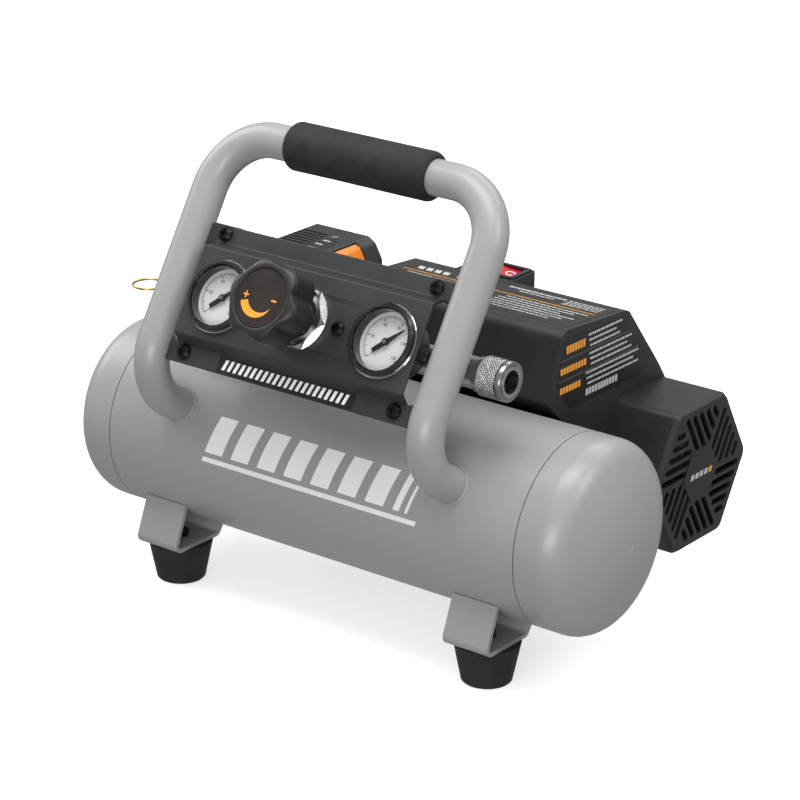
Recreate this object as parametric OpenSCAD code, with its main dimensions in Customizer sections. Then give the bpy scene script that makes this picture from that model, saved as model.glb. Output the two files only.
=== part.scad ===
// Cordless one-gallon air compressor: a horizontal tank with a leaning tube handle and
// control panel in front, and a battery powered pump in a plastic housing behind.
// X runs along the tank, +Y to the back, +Z up. The origin is on the floor, in the
// middle of the whole machine's footprint.

/* [Tank] */
// Outside diameter of the tank
tank_dia = 118; // [112:0.5:124]
// Distance between the two girth welds
tank_length = 306.8; // [290:0.2:330]
// Sheet thickness of the shell and the heads
tank_wall = 2; // [1.6:0.1:2.6]
// Straight skirt of each head, outside the weld
head_skirt = 14.5; // [10:0.5:20]
// Knuckle radius of the torispherical heads
head_knuckle = 17; // [14:0.5:20]
// Crown radius of the torispherical heads
head_crown = 106; // [100:1:112]

/* [Feet] */
// Height of a rubber foot
foot_height = 25.4; // [20:0.2:32]
// Diameter of a foot where it meets its bracket
foot_top_dia = 40.6; // [36:0.2:44]
// Diameter of a foot on the floor
foot_bottom_dia = 30.6; // [26:0.2:34]
// Distance between the two front feet
front_foot_spacing = 238; // [220:1:250]
// Distance between the two rear feet
rear_foot_spacing = 160; // [140:1:180]
// Front feet in front of the tank axis
front_foot_reach = 33; // [30:0.5:38]
// Rear feet behind the tank axis
rear_foot_reach = 95; // [85:0.5:105]
// Width of a bracket strip
bracket_width = 32; // [28:0.5:36]
// Thickness of a bracket strip
bracket_sheet = 2.5; // [2:0.1:3]
// Gap between the tank and a bracket's flat bottom
bracket_gap = 6.1; // [5:0.1:9]

/* [Handle] */
// Lean of the handle and panel back from upright, degrees
lean = 31.7; // [28:0.1:34]
// Handle plane in front of the tank axis
handle_offset = 101.7; // [96:0.1:106]
// Distance between the centrelines of the two legs
leg_spacing = 205.8; // [196:0.2:216]
// Top bar above the tank axis, along the lean
handle_rise = 163.9; // [155:0.1:175]
// Outside diameter of the handle tube
tube_dia = 21.8; // [20:0.1:23]
// Wall of the handle tube
tube_wall = 1.6; // [1.2:0.1:2]
// Bend radius of the top corners
top_bend = 36.5; // [30:0.5:44]
// Bend radius where a leg turns into the tank
leg_bend = 32; // [26:0.5:34]
// Length of the foam grip
grip_length = 105; // [90:1:115]
// Diameter of the foam grip
grip_dia = 30; // [27:0.5:34]

/* [Panel] */
// Thickness of the panel sheet
panel_sheet = 2; // [1.5:0.1:2.5]
// Bottom edge of the panel above the tank axis, along the lean
panel_bottom = 20.2; // [19:0.1:22]
// Top edge of the panel above the tank axis, along the lean
panel_top = 107.5; // [106:0.1:112]
// How far the raised face stands in front of the flanges
face_rise = 8; // [6:0.5:10]
// Row of gauges and knob above the tank axis, along the lean
control_row = 63.6; // [62:0.1:65]
// Gauge centres each side of the middle
gauge_pitch = 61; // [58:0.5:63]
// Outside diameter of a gauge bezel
gauge_dia = 43.4; // [40:0.2:46]
// Diameter of the regulator knob over its lobes
knob_dia = 51; // [46:0.5:56]
// Number of lobes on the knob
knob_lobes = 6; // [5:1:9]

/* [Air fittings] */
// Diameter of the manifold bar
manifold_dia = 18; // [16:0.5:20]
// Length of the manifold bar
manifold_length = 176; // [172:1:180]
// Manifold axis behind the flange plane
manifold_depth = 21.8; // [21.5:0.1:24]
// Diameter of the coupler sleeve
coupler_dia = 24; // [22:0.5:26]
// Mouth of the coupler to the right of the middle
coupler_reach = 132.8; // [130:0.2:136]
// Diameter of the coupler's bore
coupler_bore = 14; // [12:0.5:15]
// How far the coupler sleeve is pulled back
sleeve_travel = 4; // [3:0.5:4.5]

/* [Pump housing] */
// Pump shaft behind the tank axis
pump_reach = 122; // [120:0.5:126]
// Left end of the housing
housing_left = -40; // [-44:0.5:-36]
// Right end of the housing
housing_right = 119; // [116:0.5:124]
// Face of the fan grille
grille_face = 164; // [160:0.5:168]
// Radius of the hexagonal shroud over its corners
hex_radius = 52.5; // [51:0.5:54]
// Wall of the plastic housing
housing_wall = 2.5; // [2:0.1:3]
// Top front edge of the housing above the tank axis
housing_rise = 104; // [100:0.5:108]
// Lean of the cylinder towards the tank, degrees
cylinder_lean = 25; // [22:0.5:28]
// Bore of the pump cylinder
bore_dia = 34; // [30:0.5:36]
// Piston stroke
stroke = 12; // [10:0.5:13]
// Outside diameter of the motor
motor_dia = 52; // [48:0.5:52]
// Diameter of the cooling fan
fan_dia = 70; // [60:1:76]
// Number of fan blades
fan_blades = 7; // [5:1:9]

/* [Battery] */
// Width of the battery pack, front to back
pack_width = 73; // [70:0.5:76]
// Length of the battery pack, top to bottom
pack_length = 116; // [105:1:120]
// Thickness of the pack's cell block
pack_thickness = 47; // [44:0.5:50]
// Left side of the pack
pack_left = -149; // [-152:0.5:-146]
// Front side of the pack behind the tank axis
pack_front = 62; // [62:0.5:66]
// How far the pack slides up to come off its rails
pack_travel = 100; // [80:1:120]

/* [Hidden] */
$fn = 72;
running = 0.06;      // radial clearance of a turning or sliding fit
clear = 0.35;        // gap between pieces that move past each other
tank_r = tank_dia / 2;
seam_x = tank_length / 2;
seam_gap = 0.7;
crown_drop = sqrt(pow(head_crown - head_knuckle, 2) - pow(tank_r - head_knuckle, 2));
axis_z = foot_height + bracket_sheet + bracket_gap + tank_r;
tube_r = tube_dia / 2;
leg_x = leg_spacing / 2;

// Panel face and its controls, in the leaning frame
panel_half = leg_x - tube_r - clear;
face_low = panel_bottom + 16.3;
face_high = panel_top - 15.7;
step_run = 4.6;
gauge_r = gauge_dia / 2;
gauge_case_r = gauge_r - 2.3;
bezel_front = face_rise + 4.5;
dial_top = face_rise - 4;
gauge_back = dial_top - 15;
neck_r = 16.4;
neck_top = face_rise + 14;
knob_back = neck_top + 2;
knob_front = knob_back + 26;
knob_r = knob_dia / 2;
spindle_r = 4;
corner_screw_x = leg_x - 24.1;
corner_screw_v = [panel_bottom + 7.1, panel_top - 5.5];
face_screw_x = 28.3;
screw_r = 2.4;

// Air line behind the panel
manifold_r = manifold_dia / 2;
manifold_end = manifold_length / 2;
port_r = 6.5;
thread = 8;
relief_tip = -coupler_reach;
ring_wire = 0.8;
ring_r = 9.8;
ring_pivot = relief_tip + 2.2;

// Where pipes meet the tank: place along X, and angle up from straight back
outlet_x = -45;
outlet_angle = atan2(control_row * cos(lean) + (handle_offset - manifold_depth) * sin(lean),
    control_row * sin(lean) - (handle_offset - manifold_depth) * cos(lean));
inlet_x = -6;
drain_x = -30;
drain_angle = -60;
bung_r = 10;
bung_top = tank_r + 8;

// Pump and housing
pump_drop = 0.5;
pump_z = axis_z - pump_drop;
hex_flat = hex_radius * cos(30);
tank_clear = 2.5;
split_z = pump_z;
wall = housing_wall;
floor_in = -pump_drop - hex_flat + wall;
deck_sheet = 3;
isolator_height = 10;
crank_x = 39;
crank_half = 21;
case_r = 30;
bore_r = bore_dia / 2;
throw = stroke / 2;
barrel_base = case_r - 1;
barrel_top = barrel_base + stroke + 18;
head_top = barrel_top + 14;
rod_length = barrel_top - throw - 5.5;
shaft_r = 3;
motor_r = motor_dia / 2;
motor_left = crank_x + crank_half + 2;
motor_right = housing_right + 2;
fan_x = housing_right + 14;

// Switch on the back of the housing
switch_left = -8;
switch_right = 35;
switch_back = 129.5;
switch_front = switch_back - 26.5;
switch_top = housing_rise - 4.5;
rocker_r = 16.2;
rocker_sink = 3.6;
rocker_tilt = 8;

// Battery pack and its dock, in the tank's frame
pack_top = housing_rise - 11;
pack_back = pack_front + pack_width;
pack_mid = pack_front + pack_width / 2;
pack_flat = pack_left + pack_thickness;
pack_bottom = pack_top - pack_length;
shoulder_x = pack_flat + 13;
latch_half = pack_width / 2 - 14.5;
rail_x = shoulder_x + 6;
rail_half = pack_width / 2 - 8;
groove = 4;
slope_run = 7.5;
slope_drop = 13.5;
slope_tilt = atan2(slope_drop, slope_run);

// Middle of the footprint, so that the origin sits under it
knob_edge = 2;
front_most = (handle_offset + knob_front) * cos(lean) - (control_row - knob_r + knob_edge) * sin(lean);
back_most = pump_reach + hex_radius - 0.77;
tank_y = (front_most - back_most) / 2;

// ---- frames and helpers ----

// Tank frame: origin on the tank axis
module tank_frame() translate([0, tank_y, axis_z]) children();

// Leaning frame: X along the tank, Y up the handle, Z out of the panel's flange plane
module panel_frame() tank_frame() rotate([90 - lean, 0, 0]) translate([0, 0, handle_offset]) children();

// Frame whose Z leaves the tank axis at an angle up from straight back
module radial(x, angle) tank_frame() translate([x, 0, 0]) rotate([angle - 90, 0, 0]) children();

// Pump frame: X along the shaft, Z up
module pump_frame() translate([0, tank_y + pump_reach, pump_z]) children();

// Cylinder frame: Z along the leaning cylinder, from the shaft
module barrel_frame() pump_frame() translate([crank_x, 0, 0]) rotate([cylinder_lean, 0, 0]) children();

module bar_x(r, x0, x1) translate([x0, 0, 0]) rotate([0, 90, 0]) cylinder(r = r, h = x1 - x0);
module bar_z(r, z0, z1) translate([0, 0, z0]) cylinder(r = r, h = z1 - z0);
module hex_x(r, x0, x1) translate([x0, 0, 0]) rotate([0, 90, 0]) cylinder(r = r, h = x1 - x0, $fn = 6);
module block(low, high) translate(low) cube(high - low);
module slice_x(x0, x1) translate([x0, 0, 0]) rotate([90, 0, 90]) linear_extrude(x1 - x0) children();
module both() for (s = [-1, 1]) scale_x(s) children();
module scale_x(s) if (s < 0) mirror([1, 0, 0]) children(); else children();

function unit(v) = v / norm(v);

// Points of a fillet of radius r at corner b
function fillet(a, b, c, r, n = 8) =
    let (u = unit(a - b), v = unit(c - b), half = acos(u * v) / 2,
        centre = b + unit(u + v) * r / sin(half),
        start = b + u * r / tan(half) - centre, end = b + v * r / tan(half) - centre,
        from = atan2(start[1], start[0]),
        turn = (atan2(end[1], end[0]) - from + 540) % 360 - 180)
    [for (i = [0:n]) centre + r * [cos(from + turn * i / n), sin(from + turn * i / n)]];

// A polygon with every corner rounded by its own radius
function rounded(p, radii) = let (n = len(p))
    [for (i = [0:n - 1]) each radii[i] > 0
        ? fillet(p[(i + n - 1) % n], p[i], p[(i + 1) % n], radii[i]) : [p[i]]];

// A polygon drawn anticlockwise, moved in by d on every side
function inset(p, d) = let (n = len(p))
    [for (i = [0:n - 1]) let (e = unit(p[i] - p[(i + n - 1) % n]), f = unit(p[(i + 1) % n] - p[i]),
        a = [-e[1], e[0]], b = [-f[1], f[0]]) p[i] + d * (a + b) / (1 + a * b)];

function hexagon(r) = [for (i = [0:5]) r * [cos(60 * i), sin(60 * i)]];

// ---- tank ----

module port_holes(r) {
    radial(outlet_x, outlet_angle) bar_z(r, tank_r - 10, bung_top + 1);
    radial(inlet_x, inlet_angle()) bar_z(r, tank_r - 10, bung_top + 1);
    radial(drain_x, drain_angle) bar_z(r, tank_r - 10, bung_top + 1);
}

module tank_shell() color("darkgray") difference() {
    tank_frame() difference() {
        bar_x(tank_r, -seam_x, seam_x);
        bar_x(tank_r - tank_wall, -seam_x - 1, seam_x + 1);
    }
    port_holes(port_r);
}

// Torispherical end as a solid of revolution, with its open end at z = 0
module head_form(r, crown, knuckle, skirt, low) rotate_extrude() {
    tilt = atan2(crown_drop, tank_r - head_knuckle);
    reach = crown + 20;
    translate([0, -low]) square([r, skirt + low]);
    translate([0, skirt]) {
        intersection() {
            translate([0, -crown_drop]) circle(crown, $fn = 360);
            polygon([[0, 0], [tank_r - head_knuckle, 0],
                [tank_r - head_knuckle + reach * cos(tilt), reach * sin(tilt)], [0, reach]]);
        }
        intersection() {
            translate([tank_r - head_knuckle, 0]) circle(knuckle);
            square([r + 1, knuckle + 1]);
        }
    }
}

module tank_head() {
    insert = 10;
    joggle_r = tank_r - tank_wall - 0.1;
    color("darkgray") translate([seam_x + seam_gap, 0, 0]) rotate([0, 90, 0]) difference() {
        union() {
            head_form(tank_r, head_crown, head_knuckle, head_skirt, 0);
            bar_z(joggle_r, -insert, seam_gap);
        }
        head_form(tank_r - tank_wall - 1.6, head_crown - tank_wall, head_knuckle - tank_wall,
            head_skirt, insert + 1);
    }
}
module tank_head_right() tank_frame() tank_head();
module tank_head_left() tank_frame() mirror([1, 0, 0]) tank_head();

module tank_bungs() color("dimgray") difference() {
    union() {
        radial(outlet_x, outlet_angle) bar_z(bung_r, tank_r - 6, bung_top);
        radial(inlet_x, inlet_angle()) bar_z(bung_r, tank_r - 6, bung_top);
        radial(drain_x, drain_angle) bar_z(bung_r, tank_r - 6, bung_top);
    }
    tank_frame() bar_x(tank_r, -seam_x, seam_x);
    port_holes(port_r);
}

// ---- feet ----

// Bent strip, seen from its end: front plate leaning onto the tank, flat bottom, short upturn
module bracket_outline() {
    low = -tank_r - bracket_gap - bracket_sheet;
    front = -front_foot_reach - 24;
    back = -front_foot_reach + 18;
    outer = [[back + 6, low + 9], [back, low], [front, low], [front + 2.2, low + 8],
        [front + 11, low + 30]];
    bend = 5;
    path = concat([outer[0]], fillet(outer[0], outer[1], outer[2], bend),
        fillet(outer[1], outer[2], outer[3], bend), [outer[4]]);
    n = len(path);
    inner = [for (i = [n - 1:-1:0]) let (a = path[max(i - 1, 0)], b = path[min(i + 1, n - 1)],
        d = unit(b - a)) path[i] + bracket_sheet * [d[1], -d[0]]];
    difference() {
        polygon(concat(path, inner));
        circle(tank_r);
    }
}

module front_foot_brackets() color("gray") tank_frame()
    for (x = [-1, 1] * front_foot_spacing / 2) difference() {
        slice_x(x - bracket_width / 2, x + bracket_width / 2)
            bracket_outline();
        translate([x, -front_foot_reach, -tank_r - bracket_gap - 4]) cylinder(r = 3.2, h = 6);
    }

// A longer strip carries each rear foot, with its upturned end on the tank's lower back
module rear_foot_brackets() color("gray") tank_frame() {
    low = -tank_r - bracket_gap - bracket_sheet;
    start = 12;
    end = rear_foot_reach + 20;
    bend = 6;
    outer = concat([[end, low + 12]], fillet([end, low + 12], [end, low], [start, low], bend),
        fillet([end, low], [start, low], [start - 6, low + 14], bend), [[start - 6, low + 14]]);
    n = len(outer);
    inner = [for (i = [n - 1:-1:0]) let (a = outer[max(i - 1, 0)], b = outer[min(i + 1, n - 1)],
        d = unit(b - a)) outer[i] + bracket_sheet * [d[1], -d[0]]];
    for (x = [-1, 1] * rear_foot_spacing / 2) difference() {
        union() {
            slice_x(x - bracket_width / 2, x + bracket_width / 2)
                difference() { polygon(concat(outer, inner)); circle(tank_r); }
            slice_x(x - bracket_sheet / 2, x + bracket_sheet / 2) difference() {
                polygon([[start + 6, low + bracket_sheet], [end - 43, low + bracket_sheet],
                    [50, low + 18], [30, low + 26]]);
                circle(tank_r);
            }
        }
        translate([x, rear_foot_reach, low - 1]) cylinder(r = 3.2, h = 6);
    }
}

module each_foot() {
    for (x = [-1, 1]) {
        translate([x * front_foot_spacing / 2, tank_y - front_foot_reach, 0]) children();
        translate([x * rear_foot_spacing / 2, tank_y + rear_foot_reach, 0]) children();
    }
}

module rubber_feet() color("#262626") each_foot() difference() {
    rotate_extrude() polygon([[0, 0], [foot_bottom_dia / 2 - 1, 0], [foot_bottom_dia / 2, 1],
        [foot_top_dia / 2, foot_height], [0, foot_height]]);
    translate([0, 0, -1]) cylinder(r = 6, h = 9);
    translate([0, 0, 6]) cylinder(r = 3.1, h = foot_height);
}

module foot_bolts() color("#303030") each_foot() {
    seat = foot_height + bracket_sheet;
    translate([0, 0, seat]) cylinder(r = 5.4, h = 3.6, $fn = 6);
    translate([0, 0, 8]) cylinder(r = 3, h = seat - 8);
    translate([0, 0, 4]) cylinder(r = 5.6, h = 4);
}

// ---- handle ----

module handle_core(r) {
    straight = handle_rise - top_bend;
    bar_x(r, -leg_x + top_bend, leg_x - top_bend);
    both() {
        translate([leg_x - top_bend, -top_bend, 0]) rotate_extrude(angle = 90)
            translate([top_bend, 0]) circle(r);
        translate([leg_x, leg_bend - handle_rise, 0]) rotate([-90, 0, 0])
            cylinder(r = r, h = straight - leg_bend);
        translate([leg_x, leg_bend - handle_rise, -leg_bend]) rotate([180, -90, 0])
            rotate_extrude(angle = 90) translate([leg_bend, 0]) circle(r);
        translate([leg_x, -handle_rise, -handle_offset + tank_r - 8])
            cylinder(r = r, h = handle_offset - tank_r - leg_bend + 8);
    }
}

module handle_tube() color("darkgray") difference() {
    panel_frame() translate([0, handle_rise, 0]) difference() {
        handle_core(tube_r);
        handle_core(tube_r - tube_wall);
    }
    tank_frame() bar_x(tank_r, -seam_x, seam_x);
}

module foam_grip() color("#2b2b2b") panel_frame() translate([0, handle_rise, 0])
    rotate([0, 90, 0]) rotate_extrude() {
        half = grip_length / 2;
        soft = 2.5;
        inside = tube_r + 0.05;
        polygon(rounded([[inside, -half], [grip_dia / 2, -half], [grip_dia / 2, half],
            [inside, half]], [0, soft, soft, 0]));
    }

// Welded tabs behind the panel's corners
module panel_tabs() color("gray") panel_frame() both() for (v = corner_screw_v) difference() {
    block([corner_screw_x - 8, v - 6, -panel_sheet - 3], [leg_x - 6, v + 6, -panel_sheet]);
    translate([0, handle_rise, 0]) handle_core(tube_r);
    translate([corner_screw_x, v, -10]) cylinder(r = screw_r + 0.05, h = 12);
}

// ---- control panel ----

module panel_section(low, high, rise, lift)
    polygon([[panel_bottom, 0], [low - step_run, 0], [low, rise], [high, rise],
        [high + step_run, 0], [panel_top, 0], [panel_top, -lift], [panel_bottom, -lift]]);

module control_panel() color("#3c3c3e") panel_frame() difference() {
    union() {
        slice_x(-panel_half, panel_half) panel_section(face_low, face_high, face_rise, panel_sheet);
    }
    slice_x(-panel_half - 1, panel_half + 1) polygon([
        [face_low - step_run + 1, -panel_sheet - 1], [face_low - step_run + 1, -panel_sheet],
        [face_low + 1, face_rise - panel_sheet], [face_high - 1, face_rise - panel_sheet],
        [face_high + step_run - 1, -panel_sheet], [face_high + step_run - 1, -panel_sheet - 1]]);
    both() {
        translate([gauge_pitch, control_row, -10]) cylinder(r = gauge_case_r + 0.3, h = 30);
        translate([face_screw_x, control_row, -10]) cylinder(r = 2.3, h = 30);
        for (v = corner_screw_v) translate([corner_screw_x, v, -10]) cylinder(r = 2.7, h = 30);
    }
    translate([0, control_row, -10]) cylinder(r = neck_r + 0.3, h = 30);
    both() block([panel_half - 6.2, face_low - step_run, -10], [panel_half + 1, face_high + step_run, 20]);
}

// Pan-head screw with a cross recess, its head standing on z = 0
module pan_screw(shank, length, head) difference() {
    union() {
        bar_z(shank, -length, 0.1);
        bar_z(head, 0, head * 0.3);
        translate([0, 0, head * 0.3]) cylinder(r1 = head, r2 = head * 0.65, h = head * 0.35);
    }
    for (a = [0, 90]) rotate(a) translate([-head * 0.55, -0.5, head * 0.35]) cube([head * 1.1, 1, head]);
}

module panel_screws() color("#202020") panel_frame() both() {
    for (v = corner_screw_v) translate([corner_screw_x, v, 0]) pan_screw(screw_r, 9, 4.6);
    translate([face_screw_x, control_row, face_rise]) pan_screw(1.9, 18, 4.4);
}

// ---- air line ----

module manifold() color("silver") difference() {
    union() {
        panel_frame() translate([0, control_row, 0]) {
            translate([0, 0, -manifold_depth]) bar_x(manifold_r, -manifold_end, manifold_end);
            bar_z(17, -manifold_depth - 15, -3);
            both() {
                translate([gauge_pitch, 0, 0]) bar_z(8, -manifold_depth, gauge_back - 1.5);
                translate([face_screw_x, 0, 0])
                    bar_z(5, -manifold_depth, face_rise - panel_sheet);
            }
        }
        radial(outlet_x, outlet_angle) bar_z(8, manifold_distance() - 13, manifold_distance());
    }
    panel_frame() translate([0, control_row, 0]) {
        translate([0, 0, -manifold_depth]) {
            bar_x(4, -manifold_end - 1, manifold_end + 1);
            both() bar_x(port_r, manifold_end - thread, manifold_end + 1);
            translate([45, 0, 0]) rotate([-90, 0, 0]) cylinder(r = 3, h = 20);
        }
        bar_z(12, -manifold_depth + 1, -2);
        both() {
            translate([gauge_pitch, 0, 0]) bar_z(5, -manifold_depth + 2, 0);
            translate([face_screw_x, 0, 0]) bar_z(1.95, -manifold_depth + 10, face_rise + 1);
        }
    }
    radial(outlet_x, outlet_angle) bar_z(port_r, manifold_distance() - 14, manifold_distance() - 5);
    radial(outlet_x, outlet_angle) bar_z(4, manifold_distance() - 10, manifold_distance());
}

// Manifold axis from the tank axis
function manifold_distance() = norm([control_row, handle_offset - manifold_depth]);

module outlet_pipe() color("goldenrod") radial(outlet_x, outlet_angle) difference() {
    union() {
        bar_z(port_r - 0.05, tank_r + 1, manifold_distance() - 5.1);
        translate([0, 0, bung_top + 3]) cylinder(r = 9, h = 7, $fn = 6);
    }
    bar_z(4, tank_r, manifold_distance());
}

module regulator_bonnet() color("#1e1e1e") panel_frame() translate([0, control_row, 0])
    difference() {
        union() {
            bar_z(neck_r + 0.6, -2.9, face_rise - panel_sheet - 0.1);
            bar_z(neck_r, 0, neck_top);
        }
        bar_z(10, -3, neck_top - 4);
        bar_z(spindle_r + running, 0, neck_top + 1);
    }

module panel_nut() color("gainsboro") panel_frame() translate([0, control_row, face_rise])
    difference() {
        union() {
            bar_z(neck_r + 3.9, 0.05, 2.4);
            intersection() {
                cylinder(r = neck_r + 3.9, h = 6.4, $fn = 6);
                cylinder(r1 = neck_r + 5.4, r2 = neck_r + 2.2, h = 6.4);
            }
        }
        bar_z(neck_r + 0.04, -1, 8);
    }

// Coil of square-cut wire turns between the spindle and the diaphragm
module regulator_spring() color("silver") panel_frame() translate([0, control_row, 0]) {
    turns = 5;
    steps = 16;
    wire = 1;
    coil_r = 8;
    low = -1.8;
    high = neck_top - 6;
    rings = turns * steps;
    ring = [for (i = [0:rings]) for (k = [0:5]) let (a = 360 * i / steps, b = 60 * k)
        [(coil_r + wire * cos(b)) * cos(a), (coil_r + wire * cos(b)) * sin(a),
            low + wire + (high - low - 2 * wire) * i / rings + wire * sin(b)]];
    sides = [for (i = [0:rings - 1]) for (k = [0:5]) let (m = (k + 1) % 6)
        [6 * i + k, 6 * i + 6 + k, 6 * i + 6 + m, 6 * i + m]];
    polyhedron(ring, concat(sides, [[for (k = [0:5]) k], [for (k = [5:-1:0]) 6 * rings + k]]));
}

module regulator_spindle() color("silver") panel_frame() translate([0, control_row, 0]) {
    bar_z(spindle_r, 5, knob_front - 6);
    bar_z(6, 2, 5);
}

module regulator_knob() color("#2e2e30") panel_frame() translate([0, control_row, 0])
    difference() {
        union() {
            bar_z(knob_r, knob_back, knob_front - knob_edge);
            translate([0, 0, knob_front - knob_edge])
                cylinder(r1 = knob_r, r2 = knob_r - knob_edge, h = knob_edge);
        }
        for (i = [0:knob_lobes - 1]) rotate(20 + 360 * i / knob_lobes)
            translate([knob_r + 4.5, 0, knob_back - 1]) cylinder(r = 8.5, h = 40);
        bar_z(18.2, knob_front - 1, knob_front + 1);
        bar_z(spindle_r + 0.02, knob_back - 1, knob_front - 6 + 0.02);
    }

// ---- gauges ----

module at_gauges() for (s = [-1, 1]) panel_frame()
    translate([s * gauge_pitch, control_row, 0]) children();

module gauge_cases() color("#252527") at_gauges() difference() {
    union() {
        bar_z(gauge_case_r, gauge_back, face_rise + 0.5);
        bar_z(gauge_r, face_rise + 0.1, bezel_front - 1.2);
        translate([0, 0, bezel_front - 1.2]) cylinder(r1 = gauge_r, r2 = gauge_r - 1.2, h = 1.2);
        bar_z(4.95, -manifold_depth + 3, gauge_back + 1);
    }
    bar_z(gauge_case_r - 1.2, dial_top - 1.5, bezel_front + 1);
    bar_z(gauge_case_r - 0.4, bezel_front - 1.8, bezel_front + 1);
    bar_z(1.5, -manifold_depth, gauge_back + 4);
    bar_z(1.4, dial_top - 4, dial_top);
}

module gauge_dials() color("white") at_gauges() difference() {
    bar_z(gauge_case_r - 1.25, dial_top - 1.5, dial_top);
    bar_z(1.4, dial_top - 2, dial_top + 1);
}

module gauge_lenses() color([0.9, 0.95, 1, 0.3]) at_gauges()
    bar_z(gauge_case_r - 0.45, bezel_front - 1.8, bezel_front - 0.6);

module gauge_needle() {
    point = 13.6;
    tail = 9.6;
    rotate(43) {
        translate([0, 0, dial_top + 1]) linear_extrude(0.8)
            polygon([[-tail, -1.3], [-tail, 1.3], [0, 1.5], [point, 0.25], [point, -0.25], [0, -1.5]]);
        bar_z(2.1, dial_top + 0.9, dial_top + 2.6);
        bar_z(1.3, dial_top - 3, dial_top + 1);
    }
}
module gauge_needle_left() color("black") panel_frame()
    translate([-gauge_pitch, control_row, 0]) gauge_needle();
module gauge_needle_right() color("black") panel_frame()
    translate([gauge_pitch, control_row, 0]) gauge_needle();

// ---- relief valve and coupler on the ends of the manifold ----

module manifold_frame() panel_frame() translate([0, control_row, -manifold_depth])
    rotate([lean - 90, 0, 0]) children();

module relief_valve_body() color("goldenrod") manifold_frame() difference() {
    union() {
        bar_x(port_r - 0.05, -manifold_end - 0.1, -manifold_end + thread - 1);
        hex_x(9.8, -manifold_end - 11, -manifold_end);
        bar_x(7.5, relief_tip + 8, -manifold_end - 11);
    }
    bar_x(2.5 + running, relief_tip, -manifold_end + thread);
    bar_x(4.6, relief_tip + 12, -manifold_end - 4);
}

module relief_stem() color("gold") manifold_frame() difference() {
    union() {
        bar_x(2.5, relief_tip + 6, -manifold_end - 8);
        intersection() {
            bar_x(4.2, relief_tip, relief_tip + 7.2);
            block([relief_tip, -1.2, -5], [relief_tip + 7.2, 1.2, 5]);
        }
        bar_x(4.2, relief_tip + 5.2, relief_tip + 7.2);
        bar_x(4.3, -manifold_end - 12, -manifold_end - 8);
    }
    translate([ring_pivot, 3, 0]) rotate([90, 0, 0]) cylinder(r = ring_wire + 0.35, h = 6);
}

module relief_ring() color("silver") manifold_frame()
    translate([ring_pivot - ring_r, 0, 0]) rotate_extrude() translate([ring_r, 0]) circle(ring_wire);

module coupler_body() color("silver") manifold_frame() difference() {
    union() {
        bar_x(port_r - 0.05, manifold_end - thread + 1, manifold_end + 0.1);
        hex_x(11, manifold_end, manifold_end + 8);
        bar_x(coupler_dia / 2 - 2.7, manifold_end + 8, coupler_reach);
    }
    bar_x(4, manifold_end - thread, coupler_reach);
    bar_x(coupler_bore / 2, coupler_reach - 22, coupler_reach + 1);
}

module coupler_sleeve() color("silver") manifold_frame() difference() {
    r = coupler_dia / 2;
    start = leg_x + tube_r + clear + 1;
    union() {
        bar_x(r, start, coupler_reach - 0.3);
        bar_x(r - 1.5, start - 4, start + 1);
    }
    bar_x(r - 2.7 + running, start - 5, coupler_reach + 1);
    translate([coupler_reach - 7.5, 0, 0]) difference() {
        bar_x(r + 1, 0, 1.6);
        bar_x(r - 0.9, -1, 3);
    }
}

module pressure_switch() color("#1c1c1c") panel_frame()
    translate([45, control_row, -manifold_depth]) rotate([-90, 0, 0]) {
        bar_z(2.95, manifold_r - 4, manifold_r + 6);
        bar_z(5, manifold_r, manifold_r + 6);
        bar_z(9.5, manifold_r + 6, manifold_r + 24);
        for (x = [-4, 4]) translate([x - 0.4, -3, manifold_r + 24]) cube([0.8, 6, 8]);
    }

module drain_valve_body() color("goldenrod") radial(drain_x, drain_angle) difference() {
    union() {
        bar_z(port_r - 0.05, tank_r - 1, bung_top);
        translate([0, 0, bung_top]) cylinder(r = 8.5, h = 7, $fn = 6);
        bar_z(5, bung_top + 7, bung_top + 12);
    }
    bar_z(2 + running, tank_r - 2, bung_top + 13);
}

module drain_handle() color("goldenrod") radial(drain_x, drain_angle) {
    top = bung_top + 12 + clear;
    bar_z(2, bung_top, top + 1);
    bar_z(4, top, top + 5);
    block([-9, -1.2, top], [9, 1.2, top + 4.5]);
}

// ---- pump ----

module pump_deck() color("gray") tank_frame() difference() {
    block([-10, 30, floor_in], [104, pump_reach + 23.5, deck_top()]);
    bar_x(tank_r, -seam_x, seam_x);
    for (p = isolator_places()) translate([p[0], p[1], floor_in - 1]) cylinder(r = 2.1, h = 8);
    for (p = housing_screw_places()) translate([p[0], p[1], floor_in - 1]) cylinder(r = 1.75, h = 8);
}

function deck_top() = floor_in + deck_sheet;
function isolator_places() = [for (x = [10, 74]) for (y = [-17, 17]) [x, pump_reach + y]];

module pump_isolators() color("#222222") tank_frame() for (p = isolator_places())
    translate([p[0], p[1], deck_top()]) {
        cylinder(r = 6, h = isolator_height);
        translate([0, 0, -deck_sheet]) cylinder(r = 2, h = deck_sheet);
    }

module crankcase() color("silver") {
    base = deck_top() + isolator_height + pump_drop;
    difference() {
        pump_frame() union() {
            bar_x(case_r, crank_x - crank_half, crank_x + crank_half + 2);
            block([2, -25, base], [82, 25, base + 2.8]);
            block([crank_x - crank_half, -20, base], [crank_x + crank_half, 20, -15]);
            rotate([cylinder_lean, 0, 0]) block([crank_x - 20, -22, 10], [crank_x + 20, 22, barrel_base]);
        }
        pump_frame() {
            bar_x(case_r - 3, crank_x - crank_half + 3, crank_x + crank_half - 3);
            bar_x(shaft_r + running, 0, 100);
        }
        barrel_frame() bar_z(bore_r + 1, 5, case_r + 10);
        barrel_frame() block([-30, -30, barrel_base], [30, 30, barrel_base + 20]);
    }
}

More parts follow.
